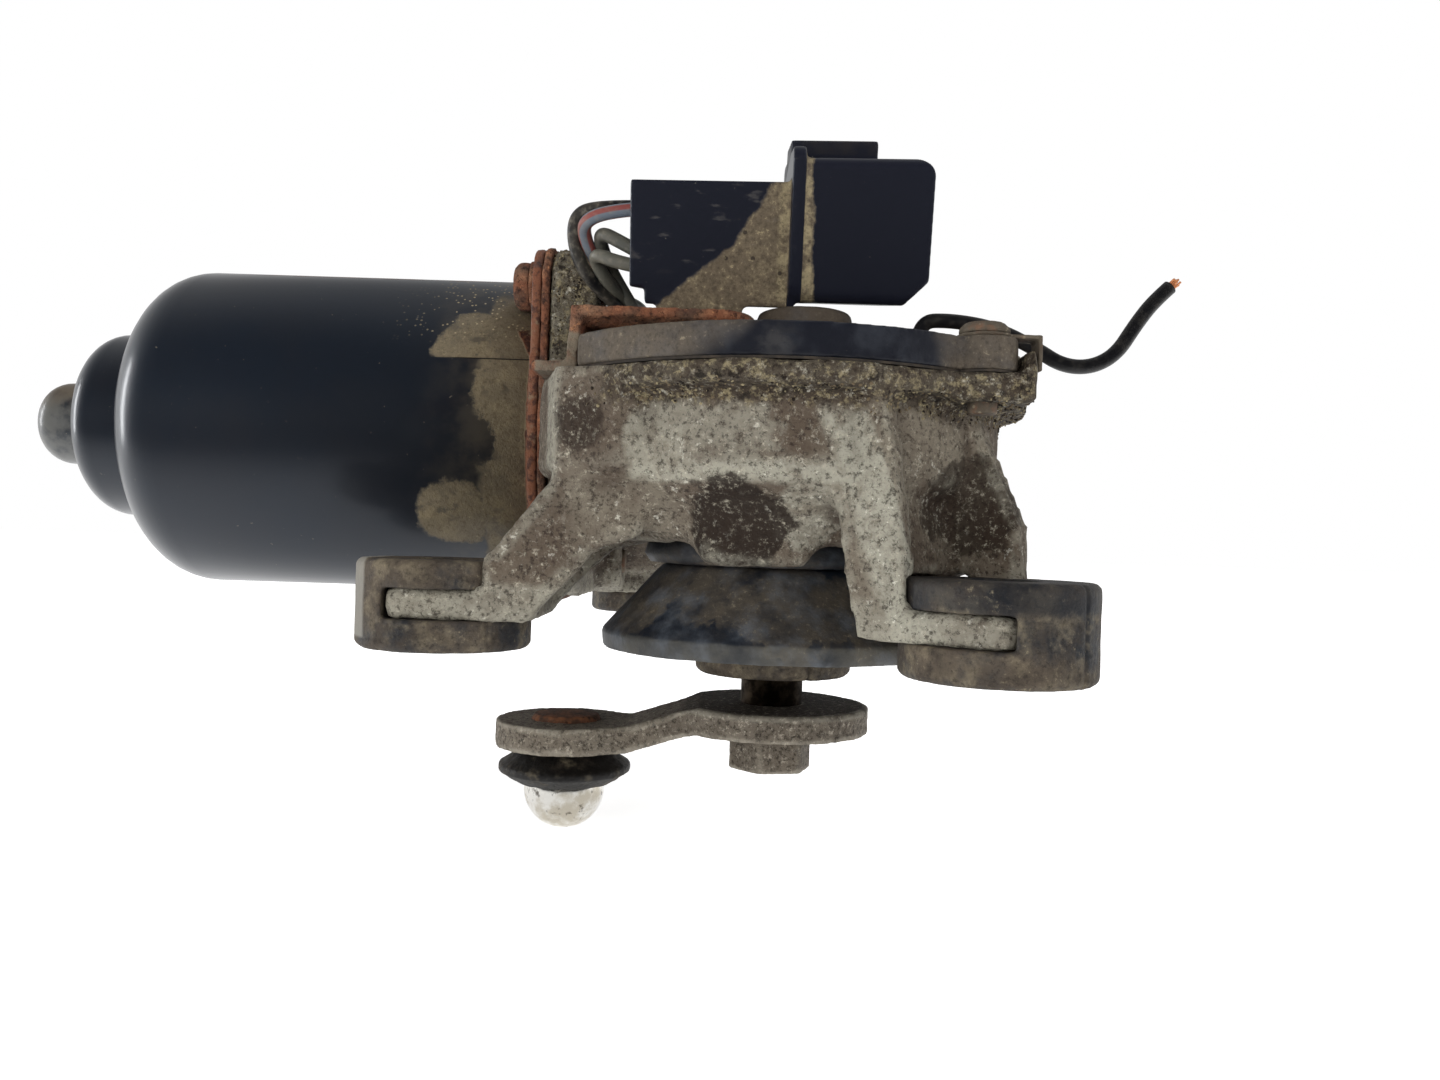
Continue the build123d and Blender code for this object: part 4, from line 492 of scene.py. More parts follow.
def connector_plastic():
    """Glass-filled nylon, moulded: blue-black and satin, with caked dust in a slant across its rear body."""
    c = colours()
    f = Finish("Glass-filled nylon, moulded", c.plastic, 0.36, ior=1.53)
    before_rib = f.before(ALONG, -0.3, 0.2)
    slant = f.both(f.either(f.beyond((0.845, 0, -0.535), -40.8, 0.8, 1.0, 3),
                            f.beyond((0.61, 0, -0.792), -54.6, 0.7, 1.0, 3)), before_rib,
                   f.before(BACK, 12, 2))
    collar = f.both(f.beyond(ALONG, -2.2, 0.8, 0.4, 4), before_rib)
    behind_rib = f.both(f.beyond(ALONG, 1.8, 0.15), f.before((1, 0, 0.04), 5.6, 0.5, 1.1, 3),
                        f.before(UP, 76.5, 0.5))
    cake = f.either(slant, f.both(collar, 0.9), f.both(behind_rib, 0.85))
    f.layer(cake, 0.92, "#5a4f3f", 0.92)
    f.layer(f.both(f.either(collar, behind_rib), f.patches(2.0, 0.55, 0.12, 6)), 0.7, "#8b7f62",
            0.92)
    f.layer(f.both(cake, f.patches(3.2, 0.35, 0.12, 6)), 0.4, "#7b6f57", 0.92)
    f.layer(f.both(cake, f.specks(1.4, 0.12, 0.3)), 0.85, "#231d18", 0.9)
    scuffs = f.patches(2.2, 0.12, 0.06, 5, stretch=(0.5, 1, 1.6))
    f.layer(f.both(scuffs, f.before(ALONG, 0, 1), f.beyond(UP, 57, 3)), 0.3, "#58534c", 0.7)
    f.layer(f.step(f.noise(0.9, 5, 0.6), 0.7, 0.74), 0.5, "#7d766b", 0.9)
    f.layer(f.both(cake, f.grains(0.8, 0.52, 0.4)), 0.6, "#3a3127", 0.92)
    f.layer(f.both(cake, f.grains(0.8, 0.55, 0.66)), 0.6, "#9d8f6f", 0.92)
    lock = f.both(f.beyond(UP, 77.2, 0.4), f.patches(3, 0.6, 0.2))
    f.layer(lock, 0.45, "#2e2823", 0.95)
    f.raise_by(f.step(cake, 0.1, 0.9), 0.12)
    f.raise_by(f.both(f.noise(0.8, 4), cake), 0.25)
    f.raise_by(f.noise(9, 2), 0.04)
    return f.done(Specular_Tint="#d5deea")


def forged_steel():
    """Forged and zinced steel, long worn: grey-brown, finely pitted, brighter on its rubbed edges, with painted shade
    on its upper side.
    """
    c = colours()
    f = Finish("Forged steel, worn zinc", c.arm, 0.7, metallic=0.15)
    wear = f.attribute("wear")
    f.layer(f.patches(8, 0.45, 0.16, 7), 0.6, "#5b5247", 0.8)
    # Painted shade: near black above 9.9 mm under the origin, over the arm's upper side.
    f.layer(f.beyond(UP, -9.9, 0.4, 0.3, 4), 0.88, "#1f1914", 0.9)
    f.layer(f.both(f.beyond(ALONG, -24, 6, 2, 5), f.patches(6, 0.5, 0.16)), 0.5, "#3f372f", 0.85)
    f.layer(f.grains(0.8, 0.51, 0.4), 0.85, "#221c16", 0.9)
    f.layer(f.grains(0.9, 0.53, 0.64), 0.7, "#a0988a", 0.8)
    f.layer(f.both(f.step(wear, 0.15, 0.6), f.patches(4, 0.6, 0.2)), 0.45, "#a39d8e", 0.5)
    f.raise_by(f.noise(0.6, 4), 0.28)
    f.raise_by(f.noise(3, 3), 0.2)
    return f.done()


def rivet_steel():
    """Head of the ball stud's rivet: rust over the plating."""
    f = Finish("Rivet steel, rusty", "#3c291e", 0.9)
    f.layer(f.patches(2.4, 0.4, 0.14, 6), 1, "#68422b", 0.9)
    f.layer(f.specks(0.8, 0.4, 0.4), 0.7, "#241812", 0.95)
    f.raise_by(f.noise(0.9, 5), 0.35)
    return f.done()


def ball_chrome():
    """Hard chrome plating: a mirror with smudges of old grease."""
    c = colours()
    f = Finish("Hard chrome plate", c.chrome, 0.08, metallic=1.0)
    f.layer(f.patches(3.6, 0.5, 0.12, 5), 0.6, "#a3967a", 0.28)
    f.layer(f.patches(2.0, 0.14, 0.06, 5), 0.8, "#4a4338", 0.5)
    # Darker and browner over its upper part.
    f.layer(f.beyond(UP, -20.6, 1.6, 0.6, 3), 0.55, "#857a66", 0.4)
    f.raise_by(f.noise(3.5, 3), 0.03)
    return f.done()


def insulation(name, base, stripe=None, dust=0.3):
    """Vinyl insulation, extruded: smooth and slightly glossy, dusty, and striped where a lead has a stripe."""
    f = Finish(name, base, 0.42, ior=1.52)
    if stripe:
        around = f.attribute("around")
        f.layer(f.both(f.step(around, 0.5, 0.56), f.but(f.step(around, 0.78, 0.84))), 1, stripe,
                0.45)
    f.layer(f.patches(4, 0.4, 0.16, 6), dust, "#6d6557", 0.8)
    f.layer(f.patches(1.0, 0.25, 0.1, 7), dust * 0.6, "#9a9180", 0.9)
    f.raise_by(f.noise(1.2, 3), 0.05)
    return f.done()


def metal(name, base, roughness, tarnish, grain=3.0, share=0.35):
    """A bare or plated metal with the tarnish of its kind, in patches."""
    f = Finish(name, base, roughness, metallic=1.0)
    f.layer(f.patches(grain, share, 0.12, 6), 0.7, tarnish, min(1.0, roughness + 0.3))
    f.raise_by(f.noise(grain / 4, 3), 0.04)
    return f.done()


def moulded(name, base, speck, roughness=0.5, grain=4.0):
    """A moulded or sintered inner piece, with faint specks."""
    f = Finish(name, base, roughness)
    f.layer(f.patches(grain, 0.35, 0.12, 5), 0.5, speck, min(1.0, roughness + 0.2))
    f.raise_by(f.noise(0.8, 3), 0.04)
    return f.done()


def dirty_zinc():
    """Zinc-plated screw steel under brown dirt, rusting a little at its edges."""
    f = Finish("Zinc-plated steel, dirty", "#5b5347", 0.75, metallic=0.12)
    f.layer(f.patches(3, 0.55, 0.14, 6), 0.8, "#453c32", 0.88)
    f.layer(f.patches(2, 0.25, 0.1, 5), 0.6, "#6f4e3a", 0.9)
    f.layer(f.specks(0.8, 0.3, 0.36), 0.5, "#8f846e", 0.9)
    f.raise_by(f.noise(0.7, 4), 0.2)
    return f.done()


def dull_copper():
    """Bare copper strands dulled by air: orange-brown, only half a mirror."""
    f = Finish("Copper strands, dulled", colours().copper, 0.5, metallic=0.4)
    f.layer(f.patches(1.0, 0.35, 0.12, 4), 0.6, "#8a4a2e", 0.6)
    return f.done()


def caked_dirt():
    """Dry dirt, caked: matt grains of tan, olive and dark brown, each of one colour."""
    f = Finish("Road dirt, caked", "#5a4e3c", 0.95)
    f.layer(f.patches(1.6, 0.42, 0.05, 2), 1, "#7f755b", 0.95)
    f.layer(f.patches(1.2, 0.4, 0.04, 2), 1, "#1f1812", 0.95)
    f.raise_by(f.noise(0.3, 2), 0.05)
    return f.done()


# ---------------------------------------------------------------- meshes
def new_object(name, data):
    """An object in the scene, of a mesh, a curve, a lamp or a camera."""
    piece = bpy.data.objects.new(name, data)
    bpy.context.scene.collection.objects.link(piece)
    return piece


def finished(piece):
    """Turns a piece and its modifiers into one plain mesh."""
    depsgraph = bpy.context.evaluated_depsgraph_get()
    mesh = bpy.data.meshes.new_from_object(piece.evaluated_get(depsgraph), depsgraph=depsgraph)
    name = piece.name
    bpy.data.objects.remove(piece)
    mesh.name = name
    return new_object(name, mesh)


def dress(piece, material, body, *nodes, slot=None):
    """Gives a piece its only material, its body and the CAD nodes that it stands for."""
    piece.data.materials.clear()
    piece.data.materials.append(material)
    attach(piece, body)
    if nodes:
        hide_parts(*nodes)
    return piece


def solid_copy(node, name):
    """A copy of a CAD node's mesh with its loose triangles joined up."""
    piece = new_object(name, frame["nodes"][node].data.copy())
    cells = bmesh.new()
    cells.from_mesh(piece.data)
    bmesh.ops.remove_doubles(cells, verts=cells.verts, dist=1e-6)
    cells.to_mesh(piece.data)
    cells.free()
    return piece


def net(mesh):
    """A mesh's places, its edges' two ends, and what gives the mean of values over each point's neighbours."""
    places = np.empty(len(mesh.vertices) * 3, np.float32)
    ends = np.empty(len(mesh.edges) * 2, np.int32)
    mesh.vertices.foreach_get("co", places)
    mesh.edges.foreach_get("vertices", ends)
    count = len(mesh.vertices)
    first, second = ends.reshape(-1, 2).T
    touching = np.maximum(np.bincount(ends, minlength=count), 1)

    def around(values):
        if values.ndim > 1:
            return np.stack([around(column) for column in values.T], 1)
        total = np.bincount(first, values[second], count) + np.bincount(second, values[first], count)
        return total / touching

    return places.reshape(-1, 3), first, second, around


def mark_wear(mesh, spread=4, gain=9.0):
    """Stores how far each point stands out of its surroundings: above 0 on edges, below 0 in corners."""
    places, first, second, around = net(mesh)
    normals = np.empty(places.size, np.float32)
    mesh.vertices.foreach_get("normal", normals)
    reach = np.linalg.norm(places[first] - places[second], axis=1).mean()
    bulge = ((places - around(places)) * normals.reshape(-1, 3)).sum(1) / reach
    for _ in range(spread):
        bulge = (bulge + around(bulge)) / 2
    wear = mesh.attributes.new("wear", "FLOAT", "POINT")
    wear.data.foreach_set("value", np.clip(bulge * gain, -1, 1).astype(np.float32))


def melt(mesh, zone, steps=26, fade=3.0):
    """Rounds a mesh's forms further inside a zone, given in millimetres as a span along each axis."""
    places, _, _, around = net(mesh)
    places = places.astype(float)
    weight = np.ones(len(places))
    for along, (low, high) in zip(places.T / MM, zone):
        weight *= np.clip((along - low) / fade, 0, 1) * np.clip((high - along) / fade, 0, 1)
    for _ in range(steps):
        places += (around(places) - places) * (0.5 * weight[:, None])
    mesh.vertices.foreach_set("co", places.astype(np.float32).ravel())
    mesh.update()


def skinned(node, name, voxel, lumps=(), soften=2, soft_zone=None):
    """A CAD node with an even skin of small cells, rounded edges and lumps as (size, height) in millimetres."""
    piece = solid_copy(node, name)
    grid = piece.modifiers.new("Grid", "REMESH")
    grid.mode, grid.voxel_size, grid.use_smooth_shade = "VOXEL", voxel, True
    rounding = piece.modifiers.new("Rounding", "SMOOTH")
    rounding.factor, rounding.iterations = 0.5, soften
    piece = finished(piece)
    if soft_zone:
        melt(piece.data, soft_zone)
    mark_wear(piece.data)
    for size, height in lumps:
        pattern = bpy.data.textures.new(f"{name}_lumps", "CLOUDS")
        pattern.noise_scale, pattern.noise_depth = size * MM, 3
        relief = piece.modifiers.new("Relief", "DISPLACE")
        relief.texture, relief.texture_coords, relief.strength = pattern, "LOCAL", height * MM
    piece = finished(piece) if lumps else piece
    # Nothing may stand out of the node's own box.
    low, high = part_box(node)
    for point in piece.data.vertices:
        point.co = [min(max(value, start), end) for value, start, end in zip(point.co, low, high)]
    return piece


def reshape(piece, move):
    """Moves each point of a piece by what move says of its place."""
    for point in piece.data.vertices:
        point.co += move(point.co)


def clad(node, name, material, voxel, lumps=(), slot=None, body="housing", move=None):
    """Stands a skin in a CAD node's place, in a material, its points moved by what move says of them."""
    piece = skinned(node, name, voxel, lumps)
    if move:
        reshape(piece, move)
    return dress(piece, material, body, node, slot=slot)


def ramp(value, start, end):
    """0 at start, 1 at end, straight between; start may be the greater."""
    return min(1.0, max(0.0, (value - start) / (end - start)))


def rounded_profile(corners, steps=10):
    """Points of an outline whose corners, given as (along, out, rounding), are arcs."""
    points = [Vector(corners[0][:2])]
    for before, corner, after in zip(corners, corners[1:], corners[2:]):
        here = Vector(corner[:2])
        back, on = Vector(before[:2]) - here, Vector(after[:2]) - here
        if corner[2] <= 0:
            points.append(here)
            continue
        half = back.angle(on) / 2
        reach = corner[2] / math.tan(half)
        centre = here + (back.normalized() + on.normalized()).normalized() * corner[2] / math.sin(half)
        start, end = here + back.normalized() * reach - centre, here + on.normalized() * reach - centre
        turn = start.angle_signed(end)
        points += [centre + Matrix.Rotation(-turn * i / steps, 2) @ start for i in range(steps + 1)]
    points.append(Vector(corners[-1][:2]))
    return points


def ring(cells, centre, axis, arm, count):
    """Points all round an axis, in even steps from where the arm points."""
    turns = [Matrix.Rotation(2 * math.pi * i / count, 3, axis) for i in range(count)]
    return [cells.verts.new(centre + turn @ arm) for turn in turns]


def skin_rings(name, cells, rings, sides):
    """Joins rings of points into a smooth skin; a ring may be one point on the axis."""
    for lower, upper in zip(rings, rings[1:]):
        for i in range(sides):
            j = (i + 1) % sides
            below, above = [[row[k % len(row)] for k in (i, j)] for row in (lower, upper)]
            cells.faces.new(list(dict.fromkeys(below + above[::-1])))
    for end in (rings[0][::-1], rings[-1]):
        if len(end) > 1:
            cells.faces.new(end)
    bmesh.ops.recalc_face_normals(cells, faces=cells.faces)
    mesh = bpy.data.meshes.new(name)
    cells.to_mesh(mesh)
    cells.free()
    mesh.shade_smooth()
    return new_object(name, mesh)


def lathe(name, profile, origin, along, out, segments):
    """Turns an outline of (along, out) points, which starts and ends on it, about the line through origin."""
    cells = bmesh.new()
    rings = []
    on_axis = 1e-7
    for step, away in profile:
        count = segments if away > on_axis else 1
        rings.append(ring(cells, origin + along * step, along, out * away, count))
    return skin_rings(name, cells, rings, segments)


def smoothed(route):
    """Points along a NURBS line that has a route's places, in millimetres, as its control points."""
    curve = bpy.data.curves.new("route", "CURVE")
    curve.dimensions, curve.resolution_u = "3D", 12
    spline = curve.splines.new("NURBS")
    spline.points.add(len(route) - 1)
    for point, place in zip(spline.points, route):
        point.co = (*(Vector(place) * MM), 1)
    spline.order_u, spline.use_endpoint_u = 3, True
    line = new_object("route", curve)
    mesh = bpy.data.meshes.new_from_object(line)
    points = [vertex.co.copy() for vertex in mesh.vertices]
    bpy.data.meshes.remove(mesh)
    bpy.data.objects.remove(line)
    return points


def tube(name, points, radius, sides=20):
    """A round tube along points, with the way round it stored for stripes."""
    cells = bmesh.new()
    way_round = cells.verts.layers.float.new("around")
    heading = (points[1] - points[0]).normalized()
    aside = heading.orthogonal().normalized()
    rings = []
    for before, point, after in zip([points[0], *points], points, [*points[1:], points[-1]]):
        ahead = (after - before).normalized()
        aside = (heading.rotation_difference(ahead) @ aside).normalized()
        heading = ahead
        rings.append(ring(cells, point, heading, aside * radius, sides))
        for k, vertex in enumerate(rings[-1]):
            vertex[way_round] = abs(2 * k / sides - 1)
    return skin_rings(name, cells, rings, sides)


# ---------------------------------------------------------------- pieces
class PieceOperator(bpy.types.Operator):
    bl_options = {"REGISTER", "UNDO"}


class WIPER_OT_can(PieceOperator):
    """Motor can: a drawn shell turned about the motor's axis, and its rusted flange"""
    bl_idname = "wiper.can"
    bl_label = "Motor can"

    def execute(self, context):
        s = sizes()
        low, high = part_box("motor_can")
        tip, mouth = low.x, high.x
        wall, flange_width, crease, overlap = 2.0 * MM, 2.0 * MM, 0.5 * MM, 0.1 * MM
        nose, shoulder, end = tip + s.nose_length, tip + s.shoulder_length, mouth - flange_width + overlap
        shell = rounded_profile([
            (tip, 0, 0), (tip, s.tip_radius, s.tip_rounding),
            (nose, s.tip_radius, crease), (nose, s.nose_radius, s.nose_rounding),
            (shoulder, s.nose_radius, crease), (shoulder, s.can_radius, s.shoulder_radius),
            (end, s.can_radius, 0), (end, s.can_radius - wall, 0),
            (shoulder + wall, s.can_radius - wall, s.shoulder_radius - wall), (shoulder + wall, 0, 0),
        ])
        enamel = can_enamel()
        can = lathe("can_shell", shell, Vector((0, motor_axis.y, motor_axis.z)), ALONG, UP, 192)
        dress(can, enamel, "housing", "motor_can", slot="can_enamel")
        # The flange is what the CAD can's own skin has at its mouth, cut off and closed.
        flange = skinned("motor_can", "can_flange", s.fine_voxel, [(2.0, 0.18)])
        cells = bmesh.new()
        cells.from_mesh(flange.data)
        bmesh.ops.bisect_plane(cells, geom=cells.verts[:] + cells.edges[:] + cells.faces[:],
                               plane_co=(mouth - flange_width, 0, 0), plane_no=ALONG, clear_inner=True)
        bmesh.ops.contextual_create(cells, geom=[edge for edge in cells.edges if edge.is_boundary])
        bmesh.ops.triangulate(cells, faces=[face for face in cells.faces if len(face.verts) > 4])
        cells.to_mesh(flange.data)
        cells.free()
        dress(flange, enamel, "housing", slot="can_enamel")
        return {"FINISHED"}


class WIPER_OT_casting(PieceOperator):
    """Gear housing: the weathered casting with its legs and forks"""
    bl_idname = "wiper.casting"
    bl_label = "Gear housing"

    def execute(self, context):
        bulge = ((-34, 9), (-60, -17), (13, 38.5))
        casting = skinned("gear_housing", "gear_casting", sizes().cast_voxel, [(5.0, 0.6), (1.6, 0.4)], 3, bulge)

        def lower_edge(place):
            """Brings down the lower edge of the web between the body and the right leg."""
            x, y, z = place / MM
            inside = 26 < x < 36 and -31 < y < -22 and z < 17
            return -UP * (1.8 * MM * min(1, (x - 26) / 2) * min(1, (17 - z) / 2) if inside else 0)

        reshape(casting, lower_edge)
        dress(casting, cast_aluminium(), "housing", "gear_housing", slot="cast_alloy")
        return {"FINISHED"}


class WIPER_OT_cover(PieceOperator):
    """Gear cover with its rest for the connector"""
    bl_idname = "wiper.cover"
    bl_label = "Gear cover"

    def execute(self, context):
        clad("gear_cover", "cover_shell", cover_paint(), 0.5 * MM, [(6.0, 0.15)], "black_cover")
        return {"FINISHED"}


class WIPER_OT_plates(PieceOperator):
    """Rusted plates: the brush plate between can and housing, and the connector's bracket"""
    bl_idname = "wiper.plates"
    bl_label = "Rusted plates"

    def execute(self, context):
        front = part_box("connector_bracket")[0].y
        plate_top, tab_bottom = 47.4 * MM, 49.6 * MM

        def lip(place):
            """Turns up the plate's front edge."""
            near_edge = ramp(place.y, front + 3.2 * MM, front)
            on_top = ramp(place.z, plate_top, plate_top + 0.6 * MM)
            return UP * (1.3 * MM * near_edge * on_top if place.z < tab_bottom else 0)

        rust = rusted_steel()
        scale = [(2.4, 0.4), (0.9, 0.25)]
        clad("brush_plate", "rusted_brush_plate", rust, 0.5 * MM, scale, "rusty_steel")
        clad("connector_bracket", "rusted_bracket", rust, 0.36 * MM, scale, "rusty_steel", move=lip)
        return {"FINISHED"}


class WIPER_OT_connector(PieceOperator):
    """Connector: moulded housing with its shroud, rib and lock block"""
    bl_idname = "wiper.connector"
    bl_label = "Connector"

    def execute(self, context):
        body = skinned("connector_housing", "connector_body", 0.34 * MM, soften=5)
        # The connector leans forwards, so its heights are taken along its own upright.
        upright = Vector((0, -0.208, 0.978))
        low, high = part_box("connector_housing")
        heights = [point.co.dot(upright) for point in body.data.vertices]
        roof = max(point.co.dot(upright) for point in body.data.vertices if point.co.x > high.x - 3 * MM)
        floor, waist, corner = min(heights), 62 * MM, 3.2 * MM
        roof_fall, front_gain, seat = 1.6 * MM, 0.8 * MM, 0.9 * MM

        def settle(place):
            """Rounds the shroud's upper front corner, lets the roof fall to the rear, and seats the floor."""
            height = place.dot(upright)
            move = STILL
            out = Vector((place.x - (high.x - corner), height - (roof - corner)))
            if out.x > 0 and out.y > 0 and out.length > corner:
                pull = out.normalized() * corner - out
                move = ALONG * pull.x + upright * pull.y
            fall = roof_fall - front_gain * (place.x - low.x) / (high.x - low.x)
            drop = seat * ramp(height, floor + 6 * MM, floor + 4 * MM)
            return move - upright * (fall * ramp(height, waist, roof) + drop)

        reshape(body, settle)
        dress(body, connector_plastic(), "housing", "connector_housing", slot="connector_plastic")
        return {"FINISHED"}


def groove(centre, seams, start, depth, half_width):
    """What moves points inwards along seams, which run down a round piece in the directions given."""
    def move(place):
        flat = Vector((place.x - centre.x, place.y - centre.y, 0))
        if flat.length < start:
            return STILL
        gaps = [abs(flat.cross(seam).z) for seam in seams if flat.dot(seam) > 0]
        return -flat.normalized() * depth * (ramp(min(gaps), half_width, 0) if gaps else 0)

    return move


class WIPER_OT_seals(PieceOperator):
    """Cone seal, dust cap and the ball's boot"""
    bl_idname = "wiper.seals"
    bl_label = "Seals"

    def execute(self, context):
        seal = cone_rubber()
        clad("cone_seal", "cone_skirt", seal, 0.5 * MM, [(7.0, 0.35)], "seal_rubber")
        neck = [(12.9, 0), (12.9, 13.2), (13.6, 20.4), (15.0, 21.4), (17.4, 20.6), (17.4, 0)]
        collar = lathe("seal_neck", [(z * MM, away * MM) for z, away in neck], STILL, UP, ALONG, 96)
        dress(collar, seal, "housing", slot="seal_rubber")
        split = groove(STILL, [Vector((0.42, -0.91, 0)).normalized()], 9 * MM, 0.9 * MM, 0.45 * MM)
        clad("dust_cap", "cap_ring", rubber("Dust cap nylon, moulded", 0.8, "#25221e").done(), 0.4 * MM,
             [(3.0, 0.2)], "connector_plastic", move=split)
        clad("ball_boot", "boot_shell", rubber("Boot rubber, moulded", 0.16, "#0a0807").done(), 0.28 * MM,
             [(2.0, 0.3)], "seal_rubber", "output")
        return {"FINISHED"}


class WIPER_OT_feet(PieceOperator):
    """Rubber feet, each with a mould seam down its outer side"""
    bl_idname = "wiper.feet"
    bl_label = "Rubber feet"

    def execute(self, context):
        dirty = foot_rubber()
        seams = [Vector((math.cos(a), math.sin(a), 0)) for a in (math.radians(-48), math.radians(132))]
        for foot in ("left", "right", "rear"):
            node = f"foot_grommet_{foot}"
            low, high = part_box(node)
            fin = groove((low + high) / 2, seams, (high.x - low.x) / 2 * 0.9, 0.35 * MM, 0.5 * MM)
            clad(node, f"rubber_foot_{foot}", dirty, sizes().fine_voxel, [(4.0, 0.2)], "foot_rubber", move=fin)
        return {"FINISHED"}


class WIPER_OT_crank(PieceOperator):
    """Crank arm, its nut, and the ball stud with its rivet head"""
    bl_idname = "wiper.crank"
    bl_label = "Crank"

    def execute(self, context):
        steel = forged_steel()
        pits = [(3.0, 0.25), (0.9, 0.15)]
        clad("crank_arm", "forged_arm", steel, sizes().fine_voxel, pits, "arm_steel", "output")
        clad("crank_nut", "arm_nut", steel, 0.3 * MM, [(1.4, 0.15)], "arm_steel", "output")
        low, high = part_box("ball_stud")
        arm_low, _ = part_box("crank_arm")
        radius = (high.x - low.x) / 2
        centre = Vector(((low.x + high.x) / 2, 0, low.z + radius))
        neck, rivet = 4.0 * MM, 5.7 * MM
        # Heights above the ball's centre: the arm's underside, the rivet head's edge and its top.
        under_arm, edge, top = arm_low.z - centre.z, high.z - 1.3 * MM - centre.z, high.z - centre.z
        turns = np.linspace(0, math.pi - math.asin(neck / radius), 40)
        ball_arc = [(-radius * math.cos(turn), radius * math.sin(turn)) for turn in turns]
        ball = lathe("chrome_ball", ball_arc + [(under_arm, neck), (under_arm, 0)], centre, UP, -BACK, 96)
        dress(ball, ball_chrome(), "output", "ball_stud", slot="ball_chrome")
        dome = rounded_profile([
            (edge - 0.5 * MM, 0, 0), (edge - 0.5 * MM, rivet - 1.2 * MM, 0), (edge, rivet, 0.1 * MM),
            (edge + 0.9 * MM, rivet - 0.6 * MM, 0.6 * MM), (top, 0, 0),
        ])
        dress(lathe("rivet_head", dome, centre, UP, -BACK, 64), rivet_steel(), "output", slot="arm_steel")
        return {"FINISHED"}


# Each lead: its insulation's colour and stripe, and its route from the connector's rear to the cover, in millimetres.
lead_exit = -24.32
lead_foot = 49.62
leads = {
    "lead_black": ("#101114", None, [
        (lead_exit, -2.4, 70.6), (-30.6, -2.0, 70.6), (-34.4, -0.6, 69.6), (-34.8, 0.0, 65.6), (-33.2, 0.4, 61.0),
        (-30.6, 3.0, 58.4), (-27.0, 7.0, 55.6), (-25.8, 12.0, 53.5), (-24.0, 20.0, 53.0), (-17.6, 24.2, 52.9),
        (-17.6, 24.2, lead_foot),
    ]),
    "lead_red": ("#5f6873", "#7c403c", [
        (lead_exit, -5.2, 69.4), (-28.6, -5.2, 68.9), (-32.2, -4.6, 67.6), (-32.9, -1.6, 66.2), (-31.2, 2.4, 62.4),
        (-28.0, 6.0, 58.0), (-26.2, 11.0, 55.9), (-25.6, 19.0, 55.5), (-14.2, 25.0, 55.3), (-14.2, 25.0, lead_foot),
    ]),
    "lead_grey": ("#4a4a44", None, [
        (lead_exit, -4.4, 63.2), (-27.0, -4.3, 64.6), (-29.6, -3.4, 66.0), (-30.4, -0.4, 65.6), (-29.0, 3.6, 62.0),
        (-26.0, 6.6, 57.4), (-23.8, 10.4, 54.2), (-22.0, 17.2, 53.2), (-16.6, 20.2, 52.7), (-16.6, 20.2, lead_foot),
    ]),
    "lead_white": ("#56554d", None, [
        (lead_exit, -4.6, 60.6), (-27.4, -4.5, 61.2), (-30.2, -3.8, 62.4), (-31.0, -1.2, 62.2), (-29.4, 2.0, 59.6),
        (-26.4, 7.6, 57.4), (-24.2, 11.7, 57.2), (-23.2, 17.0, 55.4), (-13.0, 21.6, 55.0), (-13.0, 21.6, lead_foot),
    ]),
}
cut_wire_route = [
    (19.8, -12.0, 46.62), (19.8, -12.0, 51.6), (24.8, -13.2, 51.7), (31.2, -14.6, 50.4), (37.0, -15.6, 47.4),
    (40.9, -15.9, 44.9), (45.2, -16.0, 44.7), (49.0, -16.0, 46.8), (51.8, -15.8, 51.4), (54.8, -15.5, 55.4),
    (58.4, -15.3, 58.6),
]


class WIPER_OT_leads(PieceOperator):
    """Four leads from the connector's rear to their grommet in the cover"""
    bl_idname = "wiper.leads"
    bl_label = "Connector leads"

    def execute(self, context):
        for node, (base, stripe, route) in leads.items():
            lead = tube(node.replace("lead", "wire"), smoothed(route), sizes().lead_diameter / 2)
            dress(lead, insulation(f"Vinyl insulation, {node}", base, stripe), "housing", node)
        clad("lead_grommet", "wire_grommet", rubber("Grommet rubber, moulded", 0.5).done(), 0.32 * MM)
        return {"FINISHED"}


def geometry_tree(name, **inputs):
    """A geometry tree with named inputs of the kinds given, and what it is given through them."""
    tree = bpy.data.node_groups.new(name, "GeometryNodeTree")
    for label, kind in inputs.items():
        tree.interface.new_socket(label.replace("_", " "), in_out="INPUT", socket_type=f"NodeSocket{kind}")
    tree.interface.new_socket("Geometry", in_out="OUTPUT", socket_type="NodeSocketGeometry")
    return tree, tree.nodes.new("NodeGroupInput").outputs


def end_tree(tree, material, **instances):
    """Puts instances on points, makes them real and colours them."""
    placed = add(tree, "GeometryNodeInstanceOnPoints", instances)
    real = add(tree, "GeometryNodeRealizeInstances", {0: placed.outputs[0]})
    coloured = add(tree, "GeometryNodeSetMaterial", {"Geometry": real.outputs[0], "Material": material})
    add(tree, "NodeGroupOutput", {"Geometry": coloured.outputs[0]})
    return tree


def grown(name, tree, mesh, inputs):
    """A plain mesh made by a geometry tree out of a mesh; its named inputs are set by their identifiers."""
    piece = new_object(name, mesh)
    maker = piece.modifiers.new("Maker", "NODES")
    maker.node_group = tree
    for item in tree.interface.items_tree:
        if item.name in inputs:
            maker[item.identifier] = inputs[item.name]
    return finished(piece)


